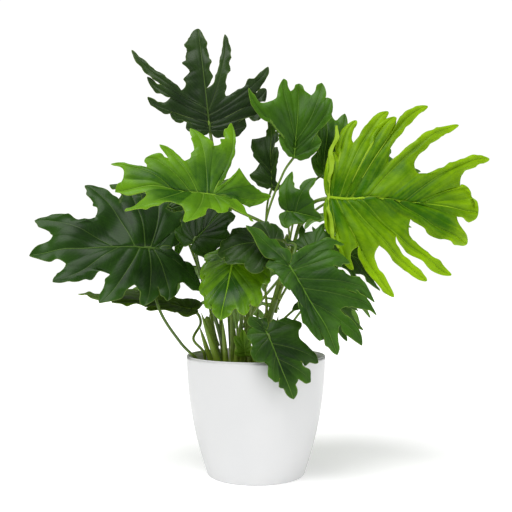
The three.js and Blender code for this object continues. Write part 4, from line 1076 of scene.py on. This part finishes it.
grow_leaf(
    "front_middle", 9,
    at=[-24, -56, 256], heading=[-0.21, -0.57, -0.79], face=[-0.04, -0.88, 0.46],
    length=76, tip=10, arch=24, fold=-4, roll=-20, thick=4.6,
    left=[[0, 106, 40, 10, 86, 37], [4, 78, 48, 10, 57, 45], [12, 45, 54, 10, 30, 53],
      [24, 33, 49, 8, 13, 62]],
    right=[[0, 100, 38, 10, 79, 35], [4, 63, 42, 10, 42, 43], [12, 38, 47, 10, 22, 55],
      [26, 26, 44, 7, 12, 64]],
    root=[-18, -12], stalk=[[-17, -20, 190], [-18, -32, 236]],
    dark=(34, 78, 0), light=(108, 156, 8), gloss=0.3, rough=0.36, streaks=0.3, crease=0.06, puff=0.35,
    vein_strength=0.2, side_strength=0.0, swing=4.5, groove=0.15)
grow_leaf(
    "over_rim", 10,
    at=[12, -88, 173], heading=[0.39, -0.26, -0.88], face=[0.06, -0.96, 0.28],
    length=76, tip=9, arch=12, fold=5, roll=-12, thick=3,
    left=[[0, 88, 40, 10, 61, 35], [12, 49, 55, 10, 28, 47], [30, 35, 43, 9, 12, 59]],
    right=[[0, 158, 27, 9, 138, 17], [0, 112, 22, 9, 71, 21], [5, 58, 29, 9, 29, 31],
      [24, 25, 30, 8, 7, 50]],
    root=[2, -38], stalk=[[4, -60, 158]],
    dark=(16, 40, 4), light=(54, 92, 14), point=0.75, reach_power=2.1, teeth=0.6, tooth_spacing=16.0,
    vein_strength=0.35, puff=0.5, stalk_color=DULL_STALK)
grow_leaf(
    "centre_dark", 11,
    at=[22, -52, 277], heading=[-0.84, -0.52, -0.1], face=[0.1, -0.78, 0.62],
    length=72, tip=11, arch=18, fold=4, roll=-14, thick=3.2,
    left=[[0, 86, 34, 10, 66, 38], [2, 59, 38, 10, 47, 46], [8, 43, 54, 10, 26, 57],
      [26, 24, 47, 9, 7, 68]],
    right=[[0, 122, 26, 9, 100, 20], [6, 84, 28, 9, 50, 30], [22, 46, 32, 9, 12, 58]],
    root=["stem_tall", 248, 258], stalk=[[32, -30, 276]],
    dark=(17, 36, 6), light=(44, 74, 14), reach_power=2.2, puff=0.5, vein_strength=0.25, gloss=0.1,
    shine=0.14, stalk_color=DULL_STALK)
grow_leaf(
    "centre_left", 12,
    at=[-71, -20, 272], heading=[0.51, 0.31, 0.8], face=[-0.2, -0.8, 0.56],
    length=70, tip=11, arch=16, fold=6, roll=-16, thick=3.4,
    left=[[0, 80, 36, 10, 62, 40], [2, 49, 52, 9, 37, 55], [10, 37, 68, 9, 24, 64],
      [20, 26, 68, 9, 9, 66]],
    right=[[0, 106, 32, 9, 90, 28], [8, 62, 37, 9, 36, 41], [20, 29, 42, 8, 9, 60]],
    root=[-34, -8], stalk=[[-46, -10, 180], [-62, -8, 224]],
    dark=(12, 32, 2), light=(36, 66, 8), vein_strength=0.25, shine=0.06, reach_power=2.0,
    stalk_color=DULL_STALK)
grow_leaf(
    "middle_small", 13,
    at=[37, -12, 311], heading=[0.91, -0.38, -0.16], face=[-0.1, -0.93, 0.35],
    length=42, tip=7, arch=12, fold=20, roll=-10, thick=2.4,
    left=[[0, 102, 51, 9, 69, 29], [10, 75, 48, 7, 32, 34]],
    right=[[0, 76, 28, 8, 32, 30]],
    root=["stem_tall", 266, 300], stalk=[[38, -8, 298]],
    dark=(32, 68, 0), light=(68, 112, 8))

# Half-hidden leaves at the sides and low down, on stalks from the stems or the soil. Most are made by one
# rule: lobes swept back at the base of the blade and forward at its tip, with small seeded differences; the
# low left and the young rim leaf have their lobes listed.
grow_leaf(
    "behind_right", 14,
    at=[126, 48, 345], heading=[0.87, 0.25, 0.42], face=[0, -0.8, 0.6],
    length=108, arch=24, fold=6, roll=-20, thick=3.2,
    root=["stem_tall", 214, 90], stalk=[[56, 34, 296], [92, 46, 328]],
    rule=(11, 4), dark=(36, 61, 10), light=(65, 108, 20))
grow_leaf(
    "behind_left", 15,
    at=[-106, 50, 318], heading=[-0.86, 0.1, 0.5], face=[0.25, -0.72, 0.6],
    length=92, arch=18, fold=6, roll=-16, thick=3.4,
    root=["stem_left", 150, 60], stalk=[[-58, 18, 204], [-74, 32, 252], [-96, 48, 302]],
    rule=(16, 4), dark=(30, 52, 11), light=(54, 91, 20))
grow_leaf(
    "left_inner", 16,
    at=[-98, 78, 296], heading=[-0.82, 0.05, 0.58], face=[0.1, -0.6, 0.8],
    length=76, arch=20, fold=6, roll=-16, thick=2.8,
    root=["stem_back", 170, 170], stalk=[[-50, 54, 236], [-84, 74, 282]],
    rule=(17, 4), dark=(34, 70, 2), light=(76, 124, 12))
grow_leaf(
    "low_left", 17,
    at=[-73, 8, 194], heading=[-0.96, 0.08, 0.22], face=[0.2, -0.22, 0.95],
    length=146, tip=9, arch=6, fold=4, roll=-8, thick=3.3,
    left=[[4, 84, 28, 9, 56, 34], [16, 52, 48, 9, 32, 62], [40, 30, 62, 8, 8, 98]],
    right=[[4, 84, 36, 9, 56, 40], [18, 52, 54, 9, 32, 66], [46, 30, 76, 8, 8, 108]],
    root=[-60, -8], stalk=[[-62, -12, 146], [-74, -6, 160], [-66, 4, 178]],
    dark=(42, 66, 8), light=(88, 120, 24), ripple=0.05)
grow_leaf(
    "low_right", 18,
    at=[94, 34, 266], heading=[0.92, 0.2, -0.26], face=[0.25, -0.6, 0.75],
    length=82, arch=20, fold=6, roll=-20, thick=2.8,
    root=["stem_tall", 190, 28], stalk=[[48, 20, 236], [74, 28, 257]],
    rule=(12, 4), dark=(32, 56, 10), light=(58, 98, 18))
grow_leaf(
    "centre_right", 19,
    at=[56, -34, 264], heading=[0.8, 0.05, 0.38], face=[-0.1, -0.8, 0.55],
    length=50, arch=18, fold=8, roll=-16, thick=2.6,
    root=["stem_tall", 206, 312], stalk=[[44, -22, 244]],
    rule=(13, 3), dark=(30, 53, 9), light=(54, 95, 17))
grow_leaf(
    "right_inner", 20,
    at=[70, -44, 209], heading=[0.88, -0.08, -0.42], face=[0.25, -0.6, 0.75],
    length=64, arch=20, fold=5, roll=-18, thick=2.8,
    root=["stem_tall", 150, 334], stalk=[[36, -22, 188], [58, -36, 206]],
    rule=(14, 4), dark=(30, 52, 8), light=(53, 91, 16))
grow_leaf(
    "young_rim", 21,
    at=[-12, -44, 147], heading=[-0.14, -0.2, 0.97], face=[-0.1, -0.97, -0.2],
    length=28, tip=4, arch=16, fold=30, roll=-10, thick=2.6,
    left=[[0, 78, 13, 4, 52, 12], [5, 34, 19, 4, 14, 20]],
    right=[[0, 82, 12, 4, 50, 13], [6, 32, 18, 4, 13, 21]],
    root=[-10, -34], stalk=[[-11, -38, 139]],
    dark=(58, 96, 10), light=(104, 146, 30), ripple=0.03, ruffle=0.6, swing=0.6)

# Leaves on the far side. The same kind by the same rule, arching outwards and down to the back.
grow_leaf(
    "back_left", 22,
    at=[-70, 120, 354], heading=[-0.1, 0.95, -0.15], face=[-0.1, 0.3, 0.9],
    length=96, arch=34, fold=6, roll=-20, thick=3.4,
    root=["stem_back", 188, 140], stalk=[[-30, 68, 270], [-60, 104, 338]],
    rule=(21, 4), dark=(39, 69, 12), light=(70, 120, 21))
grow_leaf(
    "back_middle", 23,
    at=[8, 104, 262], heading=[0.05, 0.97, -0.2], face=[0.05, 0.4, 0.9],
    length=100, arch=34, fold=6, roll=-20, thick=3.4,
    root=["stem_back", 176, 100], stalk=[[-4, 66, 222], [4, 92, 254]],
    rule=(22, 4), dark=(36, 65, 11), light=(65, 115, 20))
grow_leaf(
    "back_right", 24,
    at=[118, 92, 312], heading=[0.75, 0.64, -0.1], face=[0.3, 0.3, 0.9],
    length=108, arch=32, fold=6, roll=-20, thick=3.4,
    root=["stem_back", 176, 30], stalk=[[44, 64, 246], [92, 86, 298]],
    rule=(23, 4), dark=(46, 82, 10), light=(82, 143, 20))
grow_leaf(
    "back_low_left", 25,
    at=[-92, 84, 242], heading=[-0.75, 0.5, -0.3], face=[-0.3, 0.3, 0.9],
    length=84, arch=28, fold=6, roll=-18, thick=3,
    root=[-40, 26], stalk=[[-50, 40, 176], [-76, 72, 226]],
    rule=(24, 3), dark=(32, 56, 10), light=(58, 100, 18))
grow_leaf(
    "back_low", 26,
    at=[-22, 96, 204], heading=[-0.12, 0.92, -0.35], face=[0, 0.5, 0.86],
    length=76, arch=28, fold=6, roll=-18, thick=3,
    root=[-22, 46], stalk=[[-24, 60, 170], [-28, 80, 198]],
    rule=(25, 3), dark=(36, 63, 10), light=(65, 111, 18))
grow_leaf(
    "back_low_right", 27,
    at=[88, 76, 216], heading=[0.75, 0.5, -0.4], face=[0.35, 0.3, 0.88],
    length=78, arch=28, fold=6, roll=-18, thick=3,
    root=[28, 30], stalk=[[42, 44, 170], [74, 66, 208]],
    rule=(26, 4), dark=(40, 71, 11), light=(72, 123, 20))
